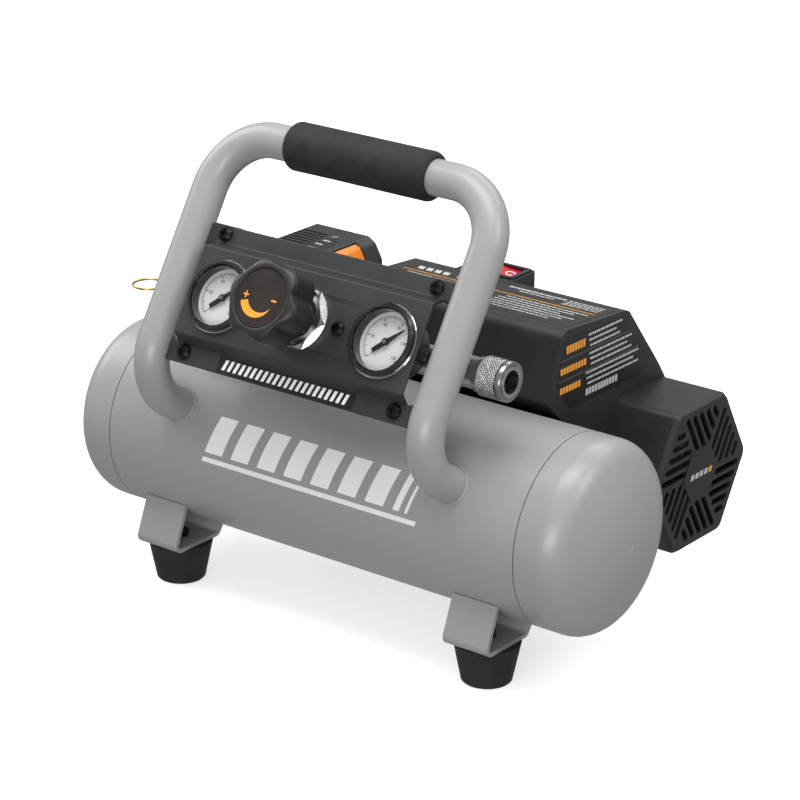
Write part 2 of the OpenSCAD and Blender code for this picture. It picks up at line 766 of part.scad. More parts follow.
module cylinder_barrel() color("silver") barrel_frame() difference() {
    union() {
        bar_z(bore_r + 4, barrel_base, barrel_top);
        for (i = [0:4]) translate([0, 0, barrel_base + 3 + 5 * i]) cylinder(r = bore_r + 7.5, h = 1.8);
    }
    bar_z(bore_r, barrel_base - 1, barrel_top + 1);
}

module cylinder_head() color("silver") barrel_frame() difference() {
    union() {
        bar_z(bore_r + 6, barrel_top, barrel_top + 5);
        bar_z(bore_r + 3, barrel_top + 5, head_top);
        for (a = [0:3]) translate([-14 + 8.6 * a, -15, head_top - 6]) cube([2.2, 30, 6]);
        translate([0, 0, barrel_top + 8]) bar_x(5, -bore_r - 7, 0);
    }
    translate([0, 0, barrel_top + 8]) bar_x(3 + 0.05, -bore_r - 8, -bore_r + 6);
    bar_z(9, barrel_top - 1, barrel_top + 5);
    for (a = [45:90:315]) rotate(a) translate([bore_r + 3.4, 0, barrel_top - 1]) cylinder(r = 1.6, h = 40);
}

module head_bolts() color("#404040") barrel_frame() for (a = [45:90:315])
    rotate(a) translate([bore_r + 3.4, 0, 0]) {
        bar_z(1.55, barrel_top + 0.1, head_top + 0.1);
        bar_z(2.8, head_top, head_top + 3);
    }

module wobble_piston() color("lightgray") barrel_frame() difference() {
    union() {
        bar_z(bore_r - running, rod_length - throw, rod_length - throw + 5);
        block([-3, -5, 6 - throw], [3, 5, rod_length - throw]);
        translate([0, 0, -throw]) bar_x(10, -3, 3);
    }
    translate([0, 0, -throw]) bar_x(5, -4, 4);
}

// Throw disc on the shaft's end; its pin stops just short of the rod's bearing
module crank_disc() color("gray") pump_frame() {
    face = crank_x + 3 + clear;
    difference() {
        union() {
            bar_x(14, face + 2.4, face + 10);
            rotate([cylinder_lean, 0, 0]) {
                translate([0, 0, -throw]) bar_x(4.5, face, face + 3);
                translate([0, 0, throw]) bar_x(15, face + 5, face + 9);
            }
        }
        bar_x(shaft_r + 0.01, face + 5, face + 20);
    }
}

module motor_can() color("silver") pump_frame() difference() {
    union() {
        bar_x(motor_r, motor_left, motor_right);
        bar_x(12, motor_right, motor_right + 3);
    }
    bar_x(motor_r - 3, motor_left + 3, motor_right - 3);
    bar_x(shaft_r + running, motor_left - 1, motor_right + 4);
    for (a = [0:45:315]) rotate([a, 0, 0])
        block([motor_right - 4, -3, 13], [motor_right + 1, 3, motor_r - 5]);
}

module motor_shaft() color("lightgray") pump_frame()
    bar_x(shaft_r, crank_x + 3 + clear + 5, fan_x + 11);

module motor_armature() color("#8a5a2b") pump_frame() difference() {
    union() {
        bar_x(motor_r - 10, motor_left + 14, motor_right - 16);
        bar_x(motor_r - 13, motor_left + 8, motor_right - 10);
    }
    bar_x(shaft_r + 0.01, motor_left, motor_right);
}

module cooling_fan() color("#333333") pump_frame() difference() {
    union() {
        bar_x(9, fan_x, fan_x + 12);
        for (i = [0:fan_blades - 1]) rotate([360 * i / fan_blades, 0, 0])
            translate([fan_x + 6, 0, 7]) rotate([0, 0, 35])
                block([-7, -0.9, 0], [7, 0.9, fan_dia / 2 - 8]);
    }
    bar_x(shaft_r + 0.01, fan_x - 1, fan_x + 13);
}

// The head's outlet port, in the tank's frame
function outlet_y() = pump_reach - (barrel_top + 8) * sin(cylinder_lean);
function outlet_z() = -pump_drop + (barrel_top + 8) * cos(cylinder_lean);
function inlet_angle() = atan2(outlet_z(), outlet_y());
function outlet_distance() = norm([outlet_y(), outlet_z()]);

module discharge_tube() color("#b87333") radial(0, inlet_angle()) {
    port = crank_x - bore_r + 5;
    tube = 3;
    corner = 5;
    translate([0, 0, outlet_distance()]) bar_x(tube, inlet_x, port);
    translate([inlet_x, 0, outlet_distance()]) sphere(corner);
    translate([inlet_x, 0, 0]) bar_z(tube, bung_top + 17, outlet_distance());
}

module check_valve() color("goldenrod") radial(inlet_x, inlet_angle()) difference() {
    union() {
        bar_z(port_r - 0.05, tank_r - 1, bung_top);
        translate([0, 0, bung_top]) cylinder(r = 9, h = 8, $fn = 6);
        bar_z(6.5, bung_top + 8, bung_top + 14);
        translate([0, 0, bung_top + 14]) cylinder(r = 7, h = 7, $fn = 6);
    }
    bar_z(2.5, tank_r - 2, bung_top + 30);
    bar_z(3.05, bung_top + 16.9, bung_top + 30);
}

module controller_board() color("darkgreen") tank_frame() {
    low = board_low();
    block([housing_left + 8, 40, low], [10, 92, low + 1.6]);
    block([housing_left + 16, 50, low + 1.6], [housing_left + 32, 74, low + 13]);
    for (y = [66, 76]) translate([-4, y, low + 1.6]) cylinder(r = 4, h = 12);
}

// ---- housing ----

// Outline seen from the right end, in the tank's frame: Y back, Z up
function housing_outline() = let (c = [pump_reach, -pump_drop], h = hexagon(hex_radius),
    right = c + h[0], low_right = c + h[5], high_right = c + h[1], rise = housing_rise)
    [[36, rise], [24, rise - 31], [21, rise - 40], [35, rise - 54], [46, low_right[1]],
        low_right, right, high_right, [141, 55], [105, rise - 5]];
function housing_radii() = [9, 14, 4, 0, 0, 6, 5, 0, 10, 7];

module housing_solid(d, x0, x1) slice_x(x0, x1) difference() {
    polygon(rounded(inset(housing_outline(), d), [for (r = housing_radii()) max(r - d, 0)]));
    circle(tank_r + tank_clear + d);
}

module hex_form(r, x0, x1, round_r) pump_frame() slice_x(x0, x1)
    polygon(rounded(hexagon(r), [for (i = [0:5]) round_r]));

// Upright box with rounded corners
module soft_box(low, high, r) translate([0, 0, low[2]]) linear_extrude(high[2] - low[2])
    polygon(rounded([[low[0], low[1]], [high[0], low[1]], [high[0], high[1]], [low[0], high[1]]],
        [r, r, r, r]));

module switch_box(d) soft_box([switch_left + d, switch_front - 12, switch_top - 36 + d],
    [switch_right - d, switch_back - d, switch_top - d], 4 - d);

function switch_mid() = [(switch_left + switch_right) / 2, (switch_front + switch_back) / 2];
function board_low() = housing_rise - 30;
function board_posts() = [for (x = [housing_left + 11, 7]) for (y = [43, 89]) [x, y]];

module housing_shell() difference() {
    tank_frame() union() {
        difference() {
            housing_solid(0, housing_left, housing_right);
            housing_solid(wall, housing_left + wall, housing_right - wall);
        }
        difference() {
            switch_box(0);
            housing_solid(wall, housing_left + wall, housing_right - wall);
        }
        intersection() {
            housing_solid(wall / 2, housing_left + 1, housing_right - 1);
            for (p = board_posts()) translate([p[0], p[1], board_low() + 1.6]) cylinder(r = 2.6, h = 60);
        }
    }
    tank_frame() difference() {
        switch_box(wall);
        block([switch_left, 0, switch_top - wall], [switch_right, switch_front - 1, housing_rise]);
    }
    switch_frame() block([-18.5, -10.4, -10], [18.5, 10.4, 1]);
    hex_form(hex_radius - 5, housing_right - wall - 1, housing_right + 1, 3);
    tank_frame() block([-11, 30, floor_in], [105, 60, deck_top() + 0.3]);
    radial(inlet_x, inlet_angle()) bar_z(bung_r + 1, tank_r, tank_r + 14);
}

module housing_cover() color("#2f2f31") difference() {
    housing_shell();
    translate([-200, -200, 0]) cube([400, 600, split_z]);
}

module housing_base() color("#2f2f31") intersection() {
    difference() {
        housing_shell();
        for (p = housing_screw_places()) translate([p[0], tank_y + p[1], 0])
            cylinder(r = 1.8, h = axis_z + floor_in + 1);
    }
    translate([-200, -200, 0]) cube([400, 600, split_z]);
}

function housing_screw_places() = [for (x = [0, 97]) for (y = [62, pump_reach + 16]) [x, y]];

module housing_screws() color("#202020") for (p = housing_screw_places())
    translate([p[0], tank_y + p[1], pump_z - hex_flat]) rotate([180, 0, 0]) pan_screw(1.7, 7, 3.4);

module fan_shroud() color("#2a2a2c") {
    edge = 2.6;
    face = grille_face - wall;
    difference() {
        hull() {
            hex_form(hex_radius, housing_right + 0.1, grille_face - edge, 7);
            hex_form(hex_radius - edge * 0.7, housing_right + 0.1, grille_face, 7);
        }
        hex_form(hex_radius - wall * 1.15, housing_right - 1, grille_face - edge - 1, 5);
        hex_form(hex_radius - edge - 1, housing_right - 1, face, 4);
        pump_frame() grille_slots(face - 1, grille_face + 1);
    }
}

// Six sectors of slots, each row parallel to the spoke that ends its sector
module grille_slots(x0, x1) {
    slot = 4;
    pitch = 6.5;
    side = hex_radius - 8;
    core = 20.5;
    spoke = 2.8;
    for (k = [0:5]) rotate([60 * k, 0, 0]) rotate([60, 0, 0]) for (i = [0:4]) {
        d = spoke + slot / 2 + pitch * i;
        inner = max(core - d / tan(60), d / tan(60) + spoke);
        outer = side - d / tan(60) - 0.5;
        if (outer - inner > slot) {
            block([x0, inner, -d - slot / 2], [x1, outer, -d + slot / 2]);
            for (y = [inner, outer]) translate([0, y, -d]) bar_x(slot / 2, x0, x1);
        }
    }
}

// ---- power switch ----

module switch_frame() tank_frame()
    translate([switch_mid()[0], switch_mid()[1], switch_top]) children();

module switch_bezel() color("#161616") switch_frame() difference() {
    union() {
        soft_box([-19.6, -11.4, 0], [19.6, 11.4, 1.2], 2.5);
        block([-18.3, -10.2, -12], [18.3, 10.2, 0.1]);
    }
    block([-rocker_r - clear, -9, -10.5], [rocker_r + clear, 9, 2]);
}

// Rocker with a shallow vee top, tipped to its off side; it turns about the Y axis
module power_rocker() color("#c8202a") switch_frame() translate([0, 8.6, -rocker_sink])
    rotate([90, rocker_tilt, 0]) linear_extrude(17.2) intersection() {
        circle(rocker_r);
        polygon([[-20, -4.2], [20, -4.2], [20, 4.6], [0, 3.4], [-20, 4.6]]);
    }

// ---- battery pack and dock ----

// Side of the pack seen from the front: X right, Z up, in the tank's frame
function pack_outline() = [[pack_left, pack_bottom], [rail_x, pack_bottom],
    [rail_x, pack_top - 26], [shoulder_x, pack_top - 17], [shoulder_x - slope_run, pack_top - 17 + slope_drop],
    [pack_flat, pack_top], [pack_left, pack_top]];

module slice_y(y0, y1) translate([0, y1, 0]) rotate([90, 0, 0]) linear_extrude(y1 - y0) children();

// Pocket in the pack's shoulder that the latch sits in
function latch_pocket() = [[pack_flat + 0.5, pack_top + 5], [pack_flat + 0.5, pack_top - 11],
    [shoulder_x - 10, pack_top - 23.5], [shoulder_x + 8, pack_top - 23.5], [shoulder_x + 8, pack_top + 5]];

module battery_case() color("#242426") tank_frame() difference() {
    slice_y(pack_front, pack_back)
        polygon(rounded(pack_outline(), [3, 1, 2, 3, 5, 5, 5]));
    for (s = [-1, 1]) translate([0, pack_mid, 0]) scale_y(s) {
        block([shoulder_x - 2, rail_half, pack_bottom - 1], [rail_x + 1, pack_width, pack_top]);
        block([shoulder_x - 2, rail_half - groove, pack_bottom - 1],
            [shoulder_x + 3.4, rail_half + 1, pack_top - 30]);
    }
    slice_y(pack_mid - latch_half, pack_mid + latch_half) polygon(latch_pocket());
    for (i = [0:11]) translate([0, pack_front + 6 + 4.6 * i, 0])
        block([pack_left + 3, 0, pack_top - 1.2], [pack_left + 25, 2, pack_top + 1]);
    slice_y(pack_mid - latch_half - 2.4, pack_mid + latch_half + 2.4)
        translate([pack_flat + 3, pack_top - 4]) circle(1.2 + running);
    translate([pack_left + 32.5, pack_back - 17.5, pack_top - 4]) cylinder(r = 3, h = 6);
    block([pack_left + 3, pack_front + 3, pack_bottom + 3],
        [pack_flat - 3, pack_back - 3, pack_top - 30]);
}

module scale_y(s) if (s < 0) mirror([0, 1, 0]) children(); else children();

module battery_cells() color("steelblue") tank_frame() for (i = [0:2]) for (j = [0:1])
    translate([pack_left + 13 + 19.5 * j, pack_mid + 20 * (i - 1), pack_bottom + 3])
        cylinder(r = 9.2, h = 66);

// Bent plate that follows the pack's shoulder and swings in about its top edge
module battery_latch() color("darkorange") tank_frame() {
    slice_y(pack_mid - latch_half + clear, pack_mid + latch_half - clear) intersection() {
        difference() {
            polygon(inset(pack_outline(), 0.8));
            polygon(inset(pack_outline(), 4));
        }
        block_2d([pack_flat + 1, pack_top - 20.5], [shoulder_x + 8, pack_top + 5]);
    }
    slice_y(pack_mid - latch_half - 2, pack_mid + latch_half + 2)
        translate([pack_flat + 3, pack_top - 4]) circle(1.2);
}

module block_2d(low, high) translate(low) square(high - low);

module fuel_button() color("#555555") tank_frame()
    translate([pack_left + 32.5, pack_back - 17.5, pack_top - 3]) cylinder(r = 2.7, h = 3.8);

// Dock: a hollow box on the housing's left end, with two arms that grip the pack's rails
module battery_dock() color("#2a2a2c") tank_frame() {
    face = rail_x + clear;
    low = pack_bottom - 4;
    high = pack_top - 22;
    side = [[pack_mid - 32, low], [pack_mid + 32, low], [pack_mid + 32, high - 22],
        [pack_mid + 24, high], [pack_mid - 32, high]];
    difference() {
        union() {
            slice_x(face, housing_left) polygon(rounded(side, [5, 5, 6, 6, 5]));
            for (s = [-1, 1]) translate([0, pack_mid, 0]) scale_y(s) {
                block([shoulder_x - 1.6, rail_half + clear, pack_bottom + 2],
                    [face + 1, rail_half + 3, pack_top - 44]);
                block([shoulder_x - 1.6, rail_half - groove + clear, pack_bottom + 2],
                    [shoulder_x + 3, rail_half + 1, pack_top - 44]);
            }
        }
        slice_x(face + 3, housing_left + 1) polygon(rounded(inset(side, 3), [2, 2, 3, 3, 2]));
        bar_x(tank_r + tank_clear, -seam_x, seam_x);
    }
    block([pack_flat, pack_mid - 20, low], [face + 1, pack_mid + 20, pack_bottom - clear]);
}

module dock_contacts() color("gold") tank_frame() for (i = [-1.5:1:1.5])
    translate([0, pack_mid + 9 * i, 0]) block([rail_x + clear + 3, -0.5, pack_bottom + 10],
        [rail_x + clear + 12, 0.5, pack_bottom + 40]);

tank_shell();
tank_head_left();
tank_head_right();
tank_bungs();
front_foot_brackets();
rear_foot_brackets();
rubber_feet();
foot_bolts();
handle_tube();
foam_grip();
panel_tabs();
control_panel();
panel_screws();
manifold();
regulator_bonnet();
panel_nut();
regulator_spring();
regulator_spindle();
regulator_knob();
gauge_cases();
gauge_dials();
gauge_lenses();
gauge_needle_left();
gauge_needle_right();
relief_valve_body();
relief_stem();
relief_ring();
coupler_body();
coupler_sleeve();
outlet_pipe();
pressure_switch();
drain_valve_body();
drain_handle();
pump_deck();
pump_isolators();
crankcase();
cylinder_barrel();
cylinder_head();
head_bolts();
wobble_piston();
crank_disc();
motor_can();
motor_shaft();
motor_armature();
cooling_fan();
discharge_tube();
check_valve();
controller_board();
housing_cover();
housing_base();
fan_shroud();
housing_screws();
switch_bezel();
power_rocker();
battery_dock();
dock_contacts();
battery_case();
battery_latch();
fuel_button();
battery_cells();
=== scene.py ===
import math
import random

import bmesh
import bpy
from mathutils import Matrix, Vector
from mathutils.geometry import tessellate_polygon


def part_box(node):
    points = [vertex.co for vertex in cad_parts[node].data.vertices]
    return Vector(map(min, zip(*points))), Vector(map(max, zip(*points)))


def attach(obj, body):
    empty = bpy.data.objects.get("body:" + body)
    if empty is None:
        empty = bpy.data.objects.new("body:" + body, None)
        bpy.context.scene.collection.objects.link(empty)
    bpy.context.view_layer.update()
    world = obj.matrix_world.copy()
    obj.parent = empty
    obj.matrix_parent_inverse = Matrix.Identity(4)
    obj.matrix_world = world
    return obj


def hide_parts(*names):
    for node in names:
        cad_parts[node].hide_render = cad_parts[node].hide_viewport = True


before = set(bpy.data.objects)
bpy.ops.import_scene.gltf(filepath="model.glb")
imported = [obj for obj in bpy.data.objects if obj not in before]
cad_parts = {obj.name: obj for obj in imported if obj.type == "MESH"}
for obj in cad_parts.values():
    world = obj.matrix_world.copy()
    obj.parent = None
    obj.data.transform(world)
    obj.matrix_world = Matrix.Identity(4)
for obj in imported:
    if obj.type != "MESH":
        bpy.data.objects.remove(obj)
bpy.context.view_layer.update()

# ---------------------------------------------------------------------------
# Studio: a pale floor under soft daylight from large panels, and the camera
# standing to the right of the machine and a little above it.
# ---------------------------------------------------------------------------
MM = 0.001
TANK_AXIS = Vector((0, -32.867, 93)) * MM

def aim(azimuth, elevation):
    """The direction from the machine towards a place round it, azimuth counted from the front to the right."""
    a, e = math.radians(azimuth), math.radians(elevation)
    return Vector((math.sin(a) * math.cos(e), -math.cos(a) * math.cos(e), math.sin(e)))

def axes_at(place, right, up, out):
    """The matrix that sets something at a place, facing out, with its right and up along those directions."""
    return Matrix([(right[k], up[k], out[k], place[k]) for k in range(3)] + [(0, 0, 0, 1)])

camera_azimuth, camera_elevation, roll = 37.36, 20.74, 0.011
camera_back = aim(camera_azimuth, camera_elevation)
level_right = Vector((math.cos(math.radians(camera_azimuth)), math.sin(math.radians(camera_azimuth)), 0))
level_up = camera_back.cross(level_right)
camera_right = level_right * math.cos(roll) + level_up * math.sin(roll)
camera_up = level_up * math.cos(roll) - level_right * math.sin(roll)
camera_target = Vector((27.74 * MM, TANK_AXIS.y, 143.28 * MM))
camera_distance = 1.8086
camera_data = bpy.data.cameras.new("studio_camera")
camera_data.lens = 136.74
camera_data.sensor_width = 36
camera_data.clip_start = 0.05
camera_data.clip_end = 30
camera = bpy.data.objects.new("studio_camera", camera_data)
camera.matrix_world = axes_at(camera_target + camera_back * camera_distance, camera_right, camera_up, camera_back)
bpy.context.collection.objects.link(camera)
bpy.context.scene.camera = camera

def light_panel(name, azimuth, elevation, distance, width, height, watts, look=(0, 0, 0.12)):
    """A rectangular light so many metres from the machine, turned towards its middle."""
    data = bpy.data.lights.new(name, "AREA")
    data.shape = "RECTANGLE"
    data.size, data.size_y = width, height
    data.energy = watts
    lamp = bpy.data.objects.new(name, data)
    back = aim(azimuth, elevation)
    lamp.location = Vector(look) + back * distance
    lamp.rotation_euler = back.to_track_quat("Z", "Y").to_euler()
    bpy.context.collection.objects.link(lamp)

light_panel("overhead_panel", 10, 80, 1.7, 1.6, 0.8, 22)
light_panel("front_panel", 24, 8, 1.9, 1.3, 0.5, 14)
light_panel("left_panel", -84, 36, 1.7, 0.9, 1.1, 11)
light_panel("right_panel", 96, 40, 1.9, 0.7, 0.8, 9)
light_panel("back_panel", 180, 48, 1.9, 1.6, 0.7, 8)

world = bpy.data.worlds.new("pale_room")
bpy.context.scene.world = world
world.use_nodes = True
world_nodes, world_links = world.node_tree.nodes, world.node_tree.links
room_light = world_nodes["Background"]
room_light.inputs["Color"].default_value = (1, 1, 1, 1)
room_light.inputs["Strength"].default_value = 0.36
white_backdrop = world_nodes.new("ShaderNodeBackground")
white_backdrop.inputs["Color"].default_value = (1, 1, 1, 1)
white_backdrop.inputs["Strength"].default_value = 1.0
seen_directly = world_nodes.new("ShaderNodeLightPath")
backdrop_or_light = world_nodes.new("ShaderNodeMixShader")
world_links.new(seen_directly.outputs["Is Camera Ray"], backdrop_or_light.inputs[0])
world_links.new(room_light.outputs[0], backdrop_or_light.inputs[1])
world_links.new(white_backdrop.outputs[0], backdrop_or_light.inputs[2])
world_links.new(backdrop_or_light.outputs[0], world_nodes["World Output"].inputs["Surface"])
bpy.context.scene.view_settings.view_transform = "Standard"

def surface(name, dark, light, rough, metallic=0.0, patch=18.0, grain=900.0, bump=0.08, depth=0.15,
            coat=0.0, rough_spread=0.06, specular=0.5):
    """A finish with slow shade changes, a fine grain in its height and a gloss that varies a little."""
    mat = bpy.data.materials.new(name)
    mat.use_nodes = True
    nodes, links = mat.node_tree.nodes, mat.node_tree.links
    shader = nodes["Principled BSDF"]
    shader.inputs["Metallic"].default_value = metallic
    shader.inputs["Specular IOR Level"].default_value = specular
    shader.inputs["Coat Weight"].default_value = coat
    shader.inputs["Coat Roughness"].default_value = 0.12
    place = nodes.new("ShaderNodeTexCoord")
    slow = nodes.new("ShaderNodeTexNoise")
    slow.inputs["Scale"].default_value = patch
    slow.inputs["Detail"].default_value = 6
    shades = nodes.new("ShaderNodeValToRGB")
    shades.color_ramp.elements[0].position = 0.3
    shades.color_ramp.elements[0].color = (*dark, 1)
    shades.color_ramp.elements[1].position = 0.7
    shades.color_ramp.elements[1].color = (*light, 1)
    gloss = nodes.new("ShaderNodeMapRange")
    gloss.inputs["From Min"].default_value = 0.25
    gloss.inputs["From Max"].default_value = 0.75
    gloss.inputs["To Min"].default_value = rough - rough_spread
    gloss.inputs["To Max"].default_value = rough + rough_spread
    fine = nodes.new("ShaderNodeTexNoise")
    fine.inputs["Scale"].default_value = grain
    fine.inputs["Detail"].default_value = 3
    lift = nodes.new("ShaderNodeBump")
    lift.inputs["Strength"].default_value = bump
    lift.inputs["Distance"].default_value = depth * MM
    links.new(place.outputs["Object"], slow.inputs["Vector"])
    links.new(place.outputs["Object"], fine.inputs["Vector"])
    links.new(slow.outputs["Fac"], shades.inputs["Fac"])
    links.new(shades.outputs["Color"], shader.inputs["Base Color"])
    links.new(slow.outputs["Fac"], gloss.inputs["Value"])
    links.new(gloss.outputs["Result"], shader.inputs["Roughness"])
    links.new(fine.outputs["Fac"], lift.inputs["Height"])
    links.new(lift.outputs["Normal"], shader.inputs["Normal"])
    return mat

floor_paper = surface("floor_paper", (0.86, 0.86, 0.86), (0.88, 0.88, 0.88), 0.75, patch=2.0,
                      grain=300, bump=0.02, specular=0.2)
floor_mesh = bpy.data.meshes.new("studio_floor")
floor_mesh.from_pydata([(-6, -6, 0), (6, -6, 0), (6, 6, 0), (-6, 6, 0)], [], [(0, 1, 2, 3)])
floor = bpy.data.objects.new("studio_floor", floor_mesh)
floor_mesh.materials.append(floor_paper)
bpy.context.collection.objects.link(floor)
floor_shader = floor_paper.node_tree.nodes["Principled BSDF"]
floor_shader.inputs["Emission Color"].default_value = (1, 1, 1, 1)
floor_shader.inputs["Emission Strength"].default_value = 0.62
floor.visible_diffuse = False
floor.visible_glossy = False

# ---------------------------------------------------------------------------
# Tank: a rolled steel shell with two pressed heads let into its ends, welded
# round and powder coated in satin grey, with threaded bungs for the air line.
# ---------------------------------------------------------------------------
def round_edges(obj, width, segments=3, angle=32):
    """Rounds the edges sharper than an angle, by so many millimetres."""
    edge = obj.modifiers.new("rounded_edges", "BEVEL")
    edge.width = width * MM
    edge.segments = segments
    edge.limit_method = "ANGLE"
    edge.angle_limit = math.radians(angle)

def dress(node, mat, soften=0.0, segments=2, angle=32):
    """Gives a CAD node its finish, and breaks its sharp edges by so many millimetres."""
    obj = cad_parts[node]
    obj.data.materials.clear()
    obj.data.materials.append(mat)
    if soften:
        round_edges(obj, soften, segments, angle)

def piece(name, shape, mat, body, place=Matrix(), smooth=True, flat_above=35):
    """A new piece from a shape's points and faces in millimetres, set in place and riding on its body."""
    verts, faces = shape
    mesh = bpy.data.meshes.new(name)
    mesh.from_pydata([place @ (Vector(v) * MM) for v in verts], [], faces)
    made = bmesh.new()
    made.from_mesh(mesh)
    bmesh.ops.remove_doubles(made, verts=made.verts, dist=1e-6)
    bmesh.ops.recalc_face_normals(made, faces=made.faces)
    made.to_mesh(mesh)
    made.free()
    mesh.materials.append(mat)
    obj = bpy.data.objects.new(name, mesh)
    bpy.context.collection.objects.link(obj)
    for face in mesh.polygons:
        face.use_smooth = smooth
    if smooth:
        mesh.set_sharp_from_angle(angle=math.radians(flat_above))
    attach(obj, body)
    return obj

tank_coat = surface("tank_satin_grey_coat", (0.318, 0.318, 0.320), (0.345, 0.345, 0.347), 0.36, patch=7,
                    grain=1400, bump=0.10, depth=0.10, coat=0.22, rough_spread=0.03)
tank_coat.node_tree.nodes["Principled BSDF"].inputs["Coat Roughness"].default_value = 0.26
for node in ("tank_shell", "tank_head_left", "tank_head_right", "tank_bungs"):
    dress(node, tank_coat)

def bands(count, around, rings):
    """The faces of so many bands between neighbouring rings of points; the last ring may meet the first."""
    faces = []
    for i in range(count):
        for k in range(around):
            m, j = (k + 1) % around, (i + 1) % rings
            faces.append((i * around + k, i * around + m, j * around + m, j * around + k))
    return faces

def sweep(path, radius, sides=14, closed=False):
    """Points and faces of a round bar along a path, all in millimetres."""
    verts = []
    count = len(path)
    up = Vector((0.13, 0.31, 0.94))
    for i, point in enumerate(path):
        before = path[(i - 1) % count] if closed or i else path[0]
        after = path[(i + 1) % count] if closed or i < count - 1 else path[-1]
        along = (Vector(after) - Vector(before)).normalized()
        side = along.cross(up).normalized()
        up = side.cross(along)
        r = radius(i / (count - 1)) if callable(radius) else radius
        for k in range(sides):
            a = math.tau * k / sides
            verts.append(Vector(point) + (side * math.cos(a) + up * math.sin(a)) * r)
    faces = bands(count if closed else count - 1, sides, count)
    if not closed:
        faces.append(tuple(range(sides))[::-1])
        faces.append(tuple((count - 1) * sides + k for k in range(sides)))
    return verts, faces

def tank_decal(quads, radius):
    """Thin prints laid on the tank, each (left, right, low angle, high angle, lean).

    The lean shifts a print's top along the tank."""
    verts, faces = [], []
    rows = 8
    for left, right, low, high, lean in quads:
        base = len(verts)
        for i in range(rows + 1):
            t = i / rows
            a = math.radians(low * (1 - t) + high * t)
            for x in (left + lean * t, right + lean * t):
                for r in (radius - 0.05, radius + 0.06):
                    verts.append((x, -r * math.cos(a), r * math.sin(a)))
        for i in range(rows):
            a, b = base + 4 * i, base + 4 * i + 4
            faces += [(a + 1, a + 3, b + 3, b + 1), (a, b, b + 2, a + 2),
                      (a, a + 1, b + 1, b), (a + 2, b + 2, b + 3, a + 3)]
        top = base + 4 * rows
        faces += [(base, base + 2, base + 3, base + 1), (top, top + 1, top + 3, top + 2)]
    return verts, faces

decal_white = surface("decal_white_film", (0.88, 0.88, 0.88), (0.91, 0.91, 0.91), 0.4, patch=40,
                      grain=1200, bump=0.03, depth=0.05)
at_tank = Matrix.Translation(TANK_AXIS)
tank_radius, bar_step = 59, 20.5
wide_bars = [(-76 + bar_step * n, -62.5 + bar_step * n, 9, 32, 7) for n in range(7)]
thin_bars = [(-78, 84, 3, 6, 1), (67.5, 72, 9, 32, 7), (76, 78, 9, 32, 7)]
for name, bars in (("tank_slanted_bars", wide_bars), ("tank_underline_and_thin_bars", thin_bars)):
    piece(name, tank_decal(bars, tank_radius), decal_white, "machine", at_tank, flat_above=60)

# Faint ridges where the shell is pressed over the heads' skirts.
press_line_x, ridge_radius = 139.5, 58.93
for side, name in ((-1, "tank_press_line_left"), (1, "tank_press_line_right")):
    ridge = []
    for k in range(180):
        a = math.tau * k / 180
        ridge.append(Vector((side * press_line_x, ridge_radius * math.cos(a), ridge_radius * math.sin(a))))
    piece(name, sweep(ridge, 0.16, sides=8, closed=True), tank_coat, "machine", at_tank)

# Fillet welds where the handle's legs meet the shell.
LEAN = math.radians(31.7)
panel_up = Vector((0, math.sin(LEAN), math.cos(LEAN)))
panel_out = Vector((0, -math.cos(LEAN), math.sin(LEAN)))
leg_x, weld_radius, weld_height = 102.9, 11.2, 59.3

def weld_bead(t):
    """The weld's half thickness, with its 17 ripples."""
    return 0.95 + 0.10 * math.sin(t * math.tau * 17)

for side, name in ((-1, "handle_weld_left"), (1, "handle_weld_right")):
    ring = []
    for k in range(72):
        a = math.tau * k / 72
        u, v = side * leg_x + weld_radius * math.cos(a), weld_radius * math.sin(a)
        w = math.sqrt(weld_height ** 2 - v * v)
        ring.append(Vector((u, 0, 0)) + panel_up * v + panel_out * w)
    piece(name, sweep(ring, weld_bead, sides=10, closed=True), tank_coat, "machine", at_tank)

# ---------------------------------------------------------------------------
# Foot brackets: bent steel strips welded to the tank and coated with it. Each
# carries a tapered rubber foot held by a black bolt.
# ---------------------------------------------------------------------------
for node in ("front_foot_brackets", "rear_foot_brackets", "pump_deck", "panel_tabs"):
    dress(node, tank_coat, 0.5)
foot_rubber = surface("foot_black_rubber", (0.014, 0.014, 0.015), (0.024, 0.024, 0.025), 0.62, patch=60,
                      grain=2200, bump=0.25, depth=0.12, specular=0.35)
dress("rubber_feet", foot_rubber, 0.8, 3)
dress("pump_isolators", foot_rubber, 0.5)
black_oxide = surface("fastener_black_oxide", (0.016, 0.016, 0.017), (0.03, 0.03, 0.032), 0.34, metallic=0.85,
                      patch=220, grain=2600, bump=0.12, depth=0.05)
dress("foot_bolts", black_oxide, 0.35)

# ---------------------------------------------------------------------------
# Handle: one bent steel tube, coated grey, with a slid-on foam grip over its
# top bar. The foam is closed-cell, matt, with rolled ends.
# ---------------------------------------------------------------------------
dress("handle_tube", tank_coat)
grip_foam = surface("grip_closed_cell_foam", (0.013, 0.013, 0.014), (0.026, 0.026, 0.027), 0.66, patch=130,
                    grain=3200, bump=0.45, depth=0.22, specular=0.3)
grip_low, grip_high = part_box("foam_grip")
grip_middle = (Vector(grip_low) + Vector(grip_high)) / 2
half, rows, around = 52.3, 120, 96
grip_radius, bore_radius, rolled_end = 14.85, 10.95, 4.0
verts = []
random.seed(11)
waves = [(random.uniform(0.04, 0.13), random.randint(2, 5), random.uniform(0, 6), random.uniform(-0.1, 0.1))
         for _ in range(7)]
for i in range(rows + 1):
    x = -half + 2 * half * i / rows
    end = min(half - abs(x), rolled_end)
    radius = grip_radius - (rolled_end - end) ** 2 * 0.17
    for k in range(around):
        a = math.tau * k / around
        r = radius + 0.09 * sum(math.sin(n * a + p + f * x) for s, n, p, f in waves) * 0.4
        verts.append((x, r * math.cos(a), r * math.sin(a)))
